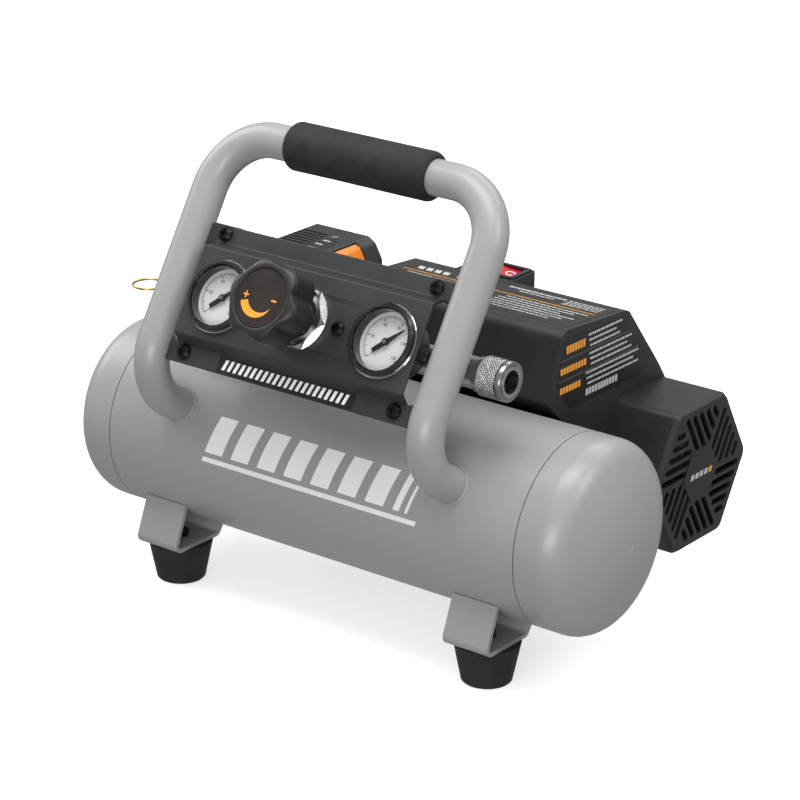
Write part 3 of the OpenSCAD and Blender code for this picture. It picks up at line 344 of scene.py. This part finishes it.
faces = bands(rows, around, rows + 1)
for x, row in ((-half, 0), (half, rows)):
    inner = len(verts)
    for k in range(around):
        a = math.tau * k / around
        verts.append((x * 0.996, bore_radius * math.cos(a), bore_radius * math.sin(a)))
    for k in range(around):
        m = (k + 1) % around
        faces.append((row * around + k, inner + k, inner + m, row * around + m))
grip = piece("foam_grip_sleeve", (verts, faces), grip_foam, "machine",
             Matrix.Translation(grip_middle), flat_above=70)
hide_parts("foam_grip")

# ---------------------------------------------------------------------------
# Control panel: steel sheet in textured charcoal, bent to a hat so its middle
# stands 8 mm proud, its flanges screwed to tabs on the handle's legs.
# ---------------------------------------------------------------------------
panel_origin = TANK_AXIS + panel_out * 101.7 * MM
at_panel = axes_at(panel_origin, (1, 0, 0), panel_up, panel_out)
panel_coat = surface("panel_charcoal_coat", (0.024, 0.024, 0.025), (0.033, 0.033, 0.034), 0.47, patch=26,
                     grain=1900, bump=0.22, depth=0.10, rough_spread=0.04)

# The sheet's outer and inner bends from bottom to top, as (up the panel, out of it).
hat = [(20.3, 0), (31.9, 0), (36.5, 8), (91.8, 8), (96.4, 0), (107.4, 0)]
under = [(20.3, -1.9), (33.1, -1.9), (37.7, 6.1), (90.6, 6.1), (95.2, -1.9), (107.4, -1.9)]
across = (-91.6, -85.4, 85.4, 91.6)
# The flanges widen a little towards the panel's ends.
widen = {31.9: 2.4, 33.1: 2.4, 96.4: -2.4, 95.2: -2.4}
verts = [(u, v + widen.get(v, 0) if abs(u) > 90 else v, w) for u in across for v, w in hat + under]
spans = [(i, j) for i in range(3) for j in range(5) if i == 1 or j in (0, 4)]
faces = []
for i, j in spans:
    a, b = 12 * i + j, 12 * i + 12 + j
    if j != 2:
        faces += [(a, b, b + 1, a + 1), (a + 6, a + 7, b + 7, b + 6)]
    if (i - 1, j) not in spans:
        faces.append((a, a + 1, a + 7, a + 6))
    if (i + 1, j) not in spans:
        faces.append((b, b + 6, b + 7, b + 1))
    if (i, j - 1) not in spans:
        faces.append((a, a + 6, b + 6, b))
    if (i, j + 1) not in spans:
        faces.append((a + 1, b + 1, b + 7, a + 7))
# Round openings for the two gauges and the regulator's neck, through both skins of the sheet.
gauge_row, gauge_step = 63.6, 61.0
openings = [(-gauge_step, 19.7), (0, 16.7), (gauge_step, 19.7)]
steps = 72
rims = []
for corner, w in ((14, 8), (20, 6.1)):
    rings = [[corner, corner + 12, corner + 13, corner + 1]]
    for cu, r in openings:
        rings.append(list(range(len(verts), len(verts) + steps)))
        turns = [math.tau * k / steps for k in range(steps)]
        verts += [(cu + r * math.cos(a), gauge_row + r * math.sin(a), w) for a in turns]
    order = [n for ring in rings for n in ring]
    flat = [[Vector((verts[n][0], verts[n][1], 0)) for n in ring] for ring in rings]
    faces += [tuple(order[n] for n in corners) for corners in tessellate_polygon(flat)]
    rims.append(rings[1:])
for top, bottom in zip(*rims):
    faces += [(top[k], top[(k + 1) % steps], bottom[(k + 1) % steps], bottom[k]) for k in range(steps)]
panel = piece("control_panel_pressing", (verts, faces), panel_coat, "machine", at_panel, smooth=False)
round_edges(panel, 0.7, 4, 25)
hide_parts("control_panel")
dress("panel_screws", black_oxide, 0.3)

def slab(outline, low, high):
    """Points and faces of a flat plate with that outline, between two heights."""
    count = len(outline)
    verts = [(x, y, low) for x, y in outline] + [(x, y, high) for x, y in outline]
    faces = [tuple(range(count))[::-1], tuple(range(count, 2 * count))]
    faces += [(i, (i + 1) % count, count + (i + 1) % count, count + i) for i in range(count)]
    return verts, faces

def round_box(u0, v0, u1, v1, r, steps=6):
    """The outline of a rectangle with round corners."""
    points = []
    for cu, cv, start in ((u1 - r, v1 - r, 0), (u0 + r, v1 - r, 90), (u0 + r, v0 + r, 180), (u1 - r, v0 + r, 270)):
        for k in range(steps + 1):
            a = math.radians(start + 90 * k / steps)
            points.append((cu + r * math.cos(a), cv + r * math.sin(a)))
    return points

def slanted(u, v, wide, tall, lean):
    """The outline of a bar from its lower left corner, its top shifted by the lean."""
    return [(u, v), (u + wide, v), (u + wide + lean, v + tall), (u + lean, v + tall)]

def gather(parts):
    """Several lists of points and faces as one."""
    verts, faces = [], []
    for some, ring in parts:
        base = len(verts)
        verts += list(some)
        faces += [tuple(base + i for i in face) for face in ring]
    return verts, faces

strip_black = surface("strip_gloss_black", (0.008, 0.008, 0.009), (0.013, 0.013, 0.014), 0.25, patch=60,
                      grain=900, bump=0.02, depth=0.05)
piece("panel_label_strip", slab(round_box(-51.5, 21.0, 50, 31.3, 0.8), -0.1, 0.16), strip_black, "machine",
      at_panel, flat_above=30)
ticks = [slab(slanted(-48.1 + 4.3 * n, 23.0, 2.3, 6.4, 1.6), 0.12, 0.2) for n in range(22)]
piece("panel_label_hatching", gather(ticks), decal_white, "machine", at_panel, smooth=False)

# ---------------------------------------------------------------------------
# Pressure gauges: black moulded cases with a thin bright ring behind, white
# dials with printed scales and numbers, and clear lenses over black pointers.
# ---------------------------------------------------------------------------
gauge_black = surface("gauge_semi_gloss_black", (0.010, 0.010, 0.011), (0.016, 0.016, 0.017), 0.24, patch=70,
                      grain=1500, bump=0.04, depth=0.05, coat=0.3)
dress("gauge_cases", gauge_black, 0.5, 3)
dial_print = surface("dial_printed_white", (0.74, 0.74, 0.73), (0.80, 0.80, 0.79), 0.5, patch=90, grain=1800,
                     bump=0.03, depth=0.04)
dress("gauge_dials", dial_print)
pointer_black = surface("pointer_matt_black", (0.008, 0.008, 0.008), (0.013, 0.013, 0.013), 0.45, patch=300,
                        grain=2000, bump=0.05, depth=0.04)
dress("gauge_needle_left", pointer_black, 0.12)
dress("gauge_needle_right", pointer_black, 0.12)

lens_clear = bpy.data.materials.new("gauge_clear_lens")
lens_clear.use_nodes = True
lens_nodes, lens_links = lens_clear.node_tree.nodes, lens_clear.node_tree.links
lens_shader = lens_nodes["Principled BSDF"]
lens_shader.inputs["Base Color"].default_value = (0.02, 0.02, 0.02, 1)
lens_shader.inputs["Roughness"].default_value = 0.03
lens_shader.inputs["IOR"].default_value = 1.3
lens_shader.inputs["Alpha"].default_value = 0.05
lens_haze = lens_nodes.new("ShaderNodeTexNoise")
lens_haze.inputs["Scale"].default_value = 60
lens_place = lens_nodes.new("ShaderNodeTexCoord")
lens_lift = lens_nodes.new("ShaderNodeBump")
lens_lift.inputs["Strength"].default_value = 0.02
lens_lift.inputs["Distance"].default_value = 0.05 * MM
lens_links.new(lens_place.outputs["Object"], lens_haze.inputs["Vector"])
lens_links.new(lens_haze.outputs["Fac"], lens_lift.inputs["Height"])
lens_links.new(lens_lift.outputs["Normal"], lens_shader.inputs["Normal"])
dress("gauge_lenses", lens_clear)

def lathe(profile, around=96, wobble=None):
    """A turned shape from (radius, height) points; wobble(angle, height, radius) adds to the radius."""
    verts = []
    for radius, height in profile:
        for k in range(around):
            a = math.tau * k / around
            r = max(radius + (wobble(a, height, radius) if wobble and radius > 0.01 else 0), 0.001)
            verts.append((r * math.cos(a), r * math.sin(a), height))
    return verts, bands(len(profile) - 1, around, len(profile))

chrome_plate = surface("chrome_plate", (0.62, 0.62, 0.63), (0.72, 0.72, 0.73), 0.10, metallic=1.0, patch=50,
                       grain=900, bump=0.02, depth=0.04, rough_spread=0.03)
bright_ring = [(19.6, 8.02), (22.3, 8.02), (22.5, 8.3), (22.5, 8.75), (22.2, 9.0), (19.6, 9.0), (19.6, 8.02)]
hub = [(0, 5.0), (1.25, 5.0), (1.3, 6.8), (1.1, 7.1), (0, 7.15)]
scale_start, scale_sweep, scale_radius = 225, 270, 15.4
for side, name in ((-1, "left"), (1, "right")):
    place = at_panel @ Matrix.Translation(Vector((side * gauge_step, gauge_row, 0)) * MM)
    piece("gauge_bright_ring_" + name, lathe(bright_ring), chrome_plate, "machine", place)
    marks = []
    for n in range(51):
        a = math.radians(scale_start - scale_sweep * n / 50)
        long, wide = (2.7, 0.26) if n % 10 == 0 else (2.0, 0.17) if n % 5 == 0 else (1.2, 0.10)
        along, across = Vector((math.cos(a), math.sin(a))), Vector((-math.sin(a), math.cos(a)))
        outer, inner = along * scale_radius, along * (scale_radius - long)
        corners = (inner - across * wide, outer - across * wide, outer + across * wide, inner + across * wide)
        marks.append(slab([tuple(corner) for corner in corners], 3.98, 4.06))
    arc = [(math.cos(math.radians(d)), math.sin(math.radians(d)))
           for d in range(scale_start - scale_sweep, scale_start + 1, 3)]
    arc_outer = [((scale_radius + 0.22) * c, (scale_radius + 0.22) * s) for c, s in arc]
    arc_inner = [(scale_radius * c, scale_radius * s) for c, s in arc[::-1]]
    marks.append(slab(arc_outer + arc_inner, 3.98, 4.05))
    piece("gauge_hub_" + name, lathe(hub, 32), chrome_plate, "needle_" + name, place)
    piece("gauge_scale_" + name, gather(marks), pointer_black, "machine", place, smooth=False)
    for n in range(6):
        a = math.radians(scale_start - scale_sweep * n / 5)
        figure = bpy.data.curves.new("gauge_number_%s_%d" % (name, n), "FONT")
        figure.body = str(30 * n)
        figure.size = 2.7 * MM
        figure.extrude = 0.03 * MM
        figure.align_x, figure.align_y = "CENTER", "CENTER"
        number = bpy.data.objects.new(figure.name, figure)
        number.matrix_world = place @ Matrix.Translation(Vector((10.9 * math.cos(a), 10.9 * math.sin(a), 4.05)) * MM)
        figure.materials.append(pointer_black)
        bpy.context.collection.objects.link(number)
        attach(number, "machine")

# ---------------------------------------------------------------------------
# Regulator: a gloss black bonnet held by a chromed nut, and a grained knob
# with deep scallops, capped by a dark disc with a turn arrow, plus and minus.
# ---------------------------------------------------------------------------
gloss_black = surface("bonnet_gloss_black", (0.006, 0.006, 0.007), (0.010, 0.010, 0.011), 0.12, patch=60,
                      grain=700, bump=0.02, depth=0.05, coat=0.6)
dress("regulator_bonnet", gloss_black, 0.6, 3)
nut_chrome = surface("nut_brushed_chrome", (0.50, 0.50, 0.51), (0.62, 0.62, 0.63), 0.22, metallic=1.0, patch=90,
                     grain=1500, bump=0.05, depth=0.05)
dress("panel_nut", nut_chrome, 0.5, 3)
knob_plastic = surface("knob_grained_plastic", (0.013, 0.013, 0.014), (0.021, 0.021, 0.022), 0.42, patch=70,
                       grain=2600, bump=0.20, depth=0.08)
at_knob = at_panel @ Matrix.Translation(Vector((0, gauge_row, 0)) * MM)
lobes, lobe_phase, valley, cap_radius = 6, math.radians(50), 5.0, 18.9

def ease(t):
    """A smooth rise from 0 to 1."""
    t = max(0.0, min(1.0, t))
    return t * t * (3 - 2 * t)

def scallop(a, height, radius):
    """Six broad lobes with round valleys that run out over the rim of the face."""
    wave = 0.5 + 0.5 * math.cos(lobes * (a - lobe_phase))
    depth = valley * (1 - wave ** 0.6)
    shown = ease((50.4 - height) / 3.4) if height > 45 else ease((height - 22.5) / 4.0)
    return -max(0.0, min(depth * shown, radius - cap_radius)) if height > 28 else -depth * shown

profile = [(4.2, 24.2), (16.5, 24.2), (18.5, 24.5), (22.2, 25.2), (23.8, 26.2), (24.7, 27.6), (25.2, 30)]
profile += [(25.4, 24 + 2 * n) for n in range(4, 11)]
profile += [(25.3, 45.5), (25.0, 46.6), (24.4, 47.7), (23.4, 48.7), (22.0, 49.5), (20.4, 49.95), (18.6, 50.0),
            (18.0, 49.85), (17.8, 49.4), (17.8, 49.0), (4, 49.0)]
knob = piece("regulator_knob_grip", lathe(profile, 240, scallop), knob_plastic, "knob", at_knob,
             flat_above=60)
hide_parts("regulator_knob")
disc_brown = surface("knob_disc_satin_dark_brown", (0.020, 0.014, 0.013), (0.028, 0.020, 0.018), 0.34, patch=60,
                     grain=900, bump=0.03, depth=0.05)
disc = [(0.0, 48.9), (17.5, 48.9), (17.6, 49.1), (17.45, 49.35), (0.0, 49.35)]
piece("knob_label_disc", lathe(disc, 128), disc_brown, "knob", at_knob, flat_above=30)
arrow_orange = surface("label_orange_ink", (0.88, 0.34, 0.03), (0.95, 0.42, 0.05), 0.4, patch=60, grain=900,
                       bump=0.02, depth=0.04)
crescent = []
turn_from, turn_to = 197, 332
for d in range(turn_from, turn_to + 1, 3):
    t = (d - turn_from) / (turn_to - turn_from)
    inside = 8.5 - 0.6 * math.sin(math.pi * min(t * 1.2, 1)) + 1.5 * t ** 2.2
    crescent.append((math.radians(d), inside, 13.5 - 3.5 * t ** 1.25))
outer = [(r1 * math.cos(a), r1 * math.sin(a)) for a, r0, r1 in crescent]
inner = [(r0 * math.cos(a), r0 * math.sin(a)) for a, r0, r1 in crescent][::-1]
piece("knob_turn_crescent", slab(outer + inner, 49.3, 49.44), arrow_orange, "knob", at_knob,
      smooth=False)
signs = [slab(round_box(-12.6, -0.25, -8.6, 0.65, 0.2, 3), 49.3, 49.44),
         slab(round_box(-11.05, -1.8, -10.15, 2.2, 0.2, 3), 49.3, 49.45),
         slab(round_box(7.9, -0.5, 11.6, 0.6, 0.2, 3), 49.3, 49.44)]
piece("knob_plus_and_minus", gather(signs), arrow_orange, "knob", at_knob, smooth=False)
turned_steel = surface("steel_turned", (0.44, 0.44, 0.45), (0.56, 0.56, 0.57), 0.28, metallic=1.0, patch=120,
                       grain=2200, bump=0.06, depth=0.04)
dress("regulator_spindle", turned_steel, 0.2)
dress("regulator_spring", turned_steel)

# ---------------------------------------------------------------------------
# Air line: an alloy manifold behind the panel, a brass relief valve with its
# pull ring on the left, and a knurled steel quick coupler on the right.
# ---------------------------------------------------------------------------
manifold_alloy = surface("manifold_alloy", (0.42, 0.42, 0.43), (0.52, 0.52, 0.53), 0.36, metallic=1.0, patch=90,
                         grain=1800, bump=0.08, depth=0.05)
dress("manifold", manifold_alloy, 0.4)
brass_machined = surface("brass_machined", (0.55, 0.36, 0.13), (0.66, 0.46, 0.19), 0.27, metallic=1.0, patch=110,
                         grain=1700, bump=0.06, depth=0.04)
for node in ("relief_valve_body", "relief_stem", "outlet_pipe", "drain_valve_body", "drain_handle", "check_valve"):
    dress(node, brass_machined, 0.25)
dress("relief_ring", brass_machined)
housing_plastic = surface("housing_grained_plastic", (0.017, 0.017, 0.018), (0.026, 0.026, 0.027), 0.47, patch=30,
                          grain=2400, bump=0.25, depth=0.10, rough_spread=0.05)
dress("pressure_switch", housing_plastic, 0.4)
dress("coupler_body", turned_steel, 0.35)
coupler_low, coupler_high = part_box("coupler_sleeve")
sleeve_middle = Vector((0, (coupler_low[1] + coupler_high[1]) / 2, (coupler_low[2] + coupler_high[2]) / 2))
along_x = Matrix.Translation(sleeve_middle) @ Matrix.Rotation(math.pi / 2, 4, "Y")
sleeve_steel = surface("sleeve_plated_steel", (0.30, 0.29, 0.28), (0.44, 0.43, 0.42), 0.24, metallic=1.0, patch=140,
                       grain=2200, bump=0.08, depth=0.05)
knurl_from, knurl_to, knurl_depth = 115.9, 128.6, 0.62

def knurl(a, height, radius):
    """Diamond grip cut into the sleeve's middle."""
    if not knurl_from < height < knurl_to:
        return 0.0
    crossing = abs(math.sin(18 * a + height * 1.7)) * abs(math.sin(18 * a - height * 1.7))
    return -knurl_depth * (1 - crossing ** 0.6)

profile = [(9.4, 111.2), (9.9, 111.2), (10.25, 111.5), (10.3, 115.1), (11.3, 115.15), (11.75, 115.5), (11.8, 115.9)]
profile += [(11.9, 116.0 + 0.3 * n) for n in range(42)]
profile += [(11.8, 128.6), (11.1, 128.75), (11.1, 129.15), (11.85, 129.3), (11.9, 129.6), (11.9, 132.1),
            (11.7, 132.4), (9.6, 132.42), (9.4, 132.2), (9.4, 111.2)]
sleeve = piece("coupler_knurled_sleeve", lathe(profile, 432, knurl), sleeve_steel, "coupler_sleeve",
               along_x, flat_above=40)
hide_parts("coupler_sleeve")

# ---------------------------------------------------------------------------
# Pump housing: two grained black mouldings that close over the pump, screwed
# together from below, with printed labels on the front slope and right end.
# ---------------------------------------------------------------------------
dress("housing_cover", housing_plastic, 0.9, 3, 20)
dress("housing_base", housing_plastic, 0.6, 2, 20)
dress("housing_screws", black_oxide, 0.2)
label_film = surface("label_dark_film", (0.010, 0.009, 0.009), (0.015, 0.013, 0.013), 0.38, patch=30, grain=1200,
                     bump=0.04, depth=0.04)
ink_grey = surface("label_grey_ink", (0.50, 0.50, 0.49), (0.60, 0.60, 0.59), 0.42, patch=60, grain=1200,
                   bump=0.02, depth=0.04)
ink_line = surface("label_line_ink", (0.11, 0.11, 0.11), (0.14, 0.14, 0.14), 0.42, patch=60, grain=1200,
                   bump=0.02, depth=0.04)

# The right end's label, in the plane of the housing's end face: across is +Y, up is +Z.
end_face = 119
at_end = axes_at(TANK_AXIS + Vector((end_face, 0, 0)) * MM, (0, 1, 0), (0, 0, 1), (1, 0, 0))
end_outline = [(30.5, 72), (38, 97.6), (40.5, 99.0), (99.5, 94.8), (104, 91.0), (128, 62), (120, 53.5), (44, 53.5)]
piece("end_label_film", slab(end_outline, 0.0, 0.14), label_film, "machine", at_end, flat_above=30)

def box_outline(u0, v0, u1, v1):
    """The outline of a rectangle."""
    return [(u0, v0), (u1, v0), (u1, v1), (u0, v1)]

def words(left, right, middle, tall, low=0.12, high=0.2):
    """A row of small blocks in word lengths, standing for a line of small print."""
    blocks, at = [], left
    while at < right - 0.8:
        length = min(random.uniform(1.4, 4.6), right - at)
        blocks.append(slab(box_outline(at, middle - tall / 2, at + length, middle + tall / 2), low, high))
        at += length + 0.55
    return blocks

random.seed(5)
headings, rules, text = [], [], []
for v, start, stop, tall in ((91.2, 40, 60, 5.0), (78.8, 34.5, 61.5, 4.0), (66.8, 34.5, 56, 4.0)):
    blocks = round((stop - start) / 2.9)
    step = (stop - start) / blocks
    for n in range(blocks):
        left = start + step * n
        headings.append(slab(round_box(left, v - tall / 2, left + step * 0.72, v + tall / 2, 0.3, 2), 0.12, 0.22))
for v, start, stop in ((91.2, 62.5, 98), (79.2, 64, 109), (67.6, 61, 117)):
    for n, row in enumerate((3.5, 0, -3.5)):
        text += words(start + n, stop - 5 * (n == 1) - (v > 90) * n, v + row, 1.25)
text += [slab(box_outline(61.5 + 3.1 * n, 56.9, 63.7 + 3.1 * n, 61.1), 0.12, 0.22) for n in range(11)]
for v, start, stop in ((85.3, 34.5, 107), (72.9, 32.5, 117)):
    rules.append(slab(box_outline(start, v - 0.2, stop, v + 0.2), 0.12, 0.2))
for name, parts, mat, slot in (("end_label_orange_bars", headings, arrow_orange, "latch_orange"),
                               ("end_label_text_lines", text, ink_grey, "dial_white"),
                               ("end_label_rules", rules, ink_line, "housing_plastic")):
    piece(name, gather(parts), mat, "machine", at_end, smooth=False)

# The top label lies on the gently sloping top, with the same inks.
slope = math.atan2(-5.0, 69.0)
top_across = Vector((0, math.cos(slope), math.sin(slope)))
top_normal = Vector((0, -math.sin(slope), math.cos(slope)))
at_top = axes_at(TANK_AXIS + Vector((0, 36, 104)) * MM, (1, 0, 0), top_across, top_normal)
piece("top_label_film", slab(round_box(-34, 9, 115, 65, 1.5), -0.05, 0.14), label_film, "machine",
      at_top, flat_above=30)
orange = [slab(box_outline(-31, 42.7, 112, 43.5), 0.12, 0.22), slab(slanted(6, 48.2, 3.5, 6, -2), 0.12, 0.22)]
piece("top_label_orange", gather(orange), arrow_orange, "machine", at_top, smooth=False)
text = []
for n in range(6):
    text += words(-28 + 4 * (n in (0, 3)), 36 - 6 * (n % 3), 38.4 - 4.3 * n, 1.3)
    text += words(48 + 3 * (n in (0, 4)), 110 - 7 * (n % 3), 38.4 - 4.3 * n, 1.3)
text += words(40, 82, 57.5, 2.0) + words(50, 76, 53.2, 1.2)
for n in range(4):
    text += words(84, 110, 57.6 - 2.9 * n, 1.1)
text += [slab(slanted(-24 + 6.4 * n, 48.2, 4.4, 6, -2), 0.12, 0.22) for n in range(4)]
piece("top_label_text_lines", gather(text), ink_grey, "machine", at_top, smooth=False)

# ---------------------------------------------------------------------------
# Fan shroud: a hexagonal moulding clipped over the right end, its face cut
# with slots in six fans round a flat badge plate.
# ---------------------------------------------------------------------------
shroud_plastic = surface("shroud_grained_plastic", (0.014, 0.014, 0.015), (0.021, 0.021, 0.022), 0.44, patch=30,
                         grain=2400, bump=0.22, depth=0.10)
dress("fan_shroud", shroud_plastic, 0.45, 2)
at_fan = axes_at(TANK_AXIS + Vector((164, 122, -0.5)) * MM, (0, 1, 0), (0, 0, 1), (1, 0, 0))
badge_radius = 19.4
corners = [math.radians(60 * k) for k in range(6)]
hexagon = [(badge_radius * math.cos(a), badge_radius * math.sin(a)) for a in corners]
badge = piece("shroud_badge_plate", slab(hexagon, -0.2, 0.5), label_film, "machine", at_fan,
              smooth=False)
round_edges(badge, 0.3)
lines = [slab(slanted(-12 + 5 * n, -1.6, 3.4, 3.4, 1.2), 0.45, 0.6) for n in range(5)]
piece("shroud_badge_lines", gather(lines[:4]), ink_grey, "machine", at_fan, smooth=False)
piece("shroud_badge_orange_line", lines[4], arrow_orange, "machine", at_fan, smooth=False)
dress("cooling_fan", housing_plastic, 0.3)

# ---------------------------------------------------------------------------
# Power switch: a black bezel snapped into the housing's raised pod, and a red
# glossy rocker with a white ring at its off end and a bar at its on end.
# ---------------------------------------------------------------------------
dress("switch_bezel", gauge_black, 0.5, 3)
rocker_red = surface("rocker_gloss_red", (0.52, 0.010, 0.022), (0.62, 0.014, 0.030), 0.22, patch=50, grain=900,
                     bump=0.02, depth=0.05, coat=0.4)
dress("power_rocker", rocker_red, 0.6, 3)
pivot = TANK_AXIS + Vector((13.5, 116.25, 95.9)) * MM
at_rocker = Matrix.Translation(pivot) @ Matrix.Rotation(math.radians(8), 4, "Y")
off_ring = [(2.5, 4.2), (3.3, 4.2), (3.3, 4.6), (2.5, 4.6), (2.5, 4.2)]
ring_place = at_rocker @ Matrix.Translation(Vector((10, 0, -0.05)) * MM)
piece("rocker_off_ring", lathe(off_ring, 48), decal_white, "rocker", ring_place, flat_above=30)
piece("rocker_on_bar", slab(box_outline(-11.4, -3, -10.4, 3), 4.1, 4.5), decal_white, "rocker",
      at_rocker, smooth=False)

# ---------------------------------------------------------------------------
# Battery: a moulded pack that slides down onto the dock's rails, with a ribbed
# top, a charge gauge with its button, and an orange latch on the shoulder.
# ---------------------------------------------------------------------------
pack_plastic = surface("pack_grained_plastic", (0.018, 0.018, 0.019), (0.028, 0.028, 0.030), 0.46, patch=40,
                       grain=2300, bump=0.22, depth=0.09)
dress("battery_case", pack_plastic, 0.8, 3, 24)
dress("battery_dock", housing_plastic, 0.6, 2)
latch_orange = surface("latch_satin_orange", (0.84, 0.20, 0.010), (0.94, 0.30, 0.022), 0.36, patch=50, grain=1500,
                       bump=0.08, depth=0.06)
dress("battery_latch", latch_orange, 0.5, 3)
button_grey = surface("button_satin_grey", (0.10, 0.10, 0.10), (0.14, 0.14, 0.14), 0.4, patch=200, grain=1500,
                      bump=0.05, depth=0.05)
dress("fuel_button", button_grey, 0.3)
cell_wrap = surface("cell_blue_wrap", (0.05, 0.14, 0.34), (0.07, 0.18, 0.42), 0.3, patch=60, grain=900,
                    bump=0.03, depth=0.05)
dress("battery_cells", cell_wrap, 0.3)
dress("dock_contacts", brass_machined, 0.1)

# The charge gauge's film stops short of its button. A parting line runs beside the ribs.
at_pack = Matrix.Translation(TANK_AXIS + Vector((-149, 98.5, 93)) * MM)
piece("charge_gauge_film", slab(round_box(27.2, -30, 41.5, 14.5, 1.2), -0.05, 0.12), label_film, "battery",
      at_pack, flat_above=30)
lamps = [slab(round_box(29.5, -6 + 8 * n, 35.5, -4.4 + 8 * n, 0.4, 3), 0.1, 0.24) for n in range(3)]
piece("charge_gauge_lamps", gather(lamps), ink_grey, "battery", at_pack, smooth=False)
piece("pack_parting_line", slab(box_outline(25.2, -34.5, 26.0, 34.5), -0.05, 0.07), strip_black, "battery",
      at_pack, smooth=False)

# ---------------------------------------------------------------------------
# Pump and motor, out of sight inside the housing: cast alloy crankcase, finned
# cylinder and head, a steel motor can, copper discharge tube and control board.
# ---------------------------------------------------------------------------
cast_alloy = surface("pump_cast_alloy", (0.34, 0.34, 0.35), (0.44, 0.44, 0.45), 0.5, metallic=0.9, patch=90,
                     grain=900, bump=0.3, depth=0.15)
for node in ("crankcase", "cylinder_barrel", "cylinder_head", "wobble_piston"):
    dress(node, cast_alloy, 0.3)
for node in ("motor_can", "motor_shaft", "crank_disc"):
    dress(node, turned_steel, 0.3)
dress("head_bolts", black_oxide, 0.2)
winding_copper = surface("winding_enamelled_copper", (0.42, 0.16, 0.06), (0.56, 0.24, 0.09), 0.3, metallic=0.9,
                         patch=300, grain=1500, bump=0.3, depth=0.1)
dress("motor_armature", winding_copper)
dress("discharge_tube", winding_copper)
board_green = surface("board_green_mask", (0.012, 0.09, 0.03), (0.02, 0.13, 0.05), 0.35, patch=200, grain=1500,
                      bump=0.1, depth=0.1)
dress("controller_board", board_green, 0.2)
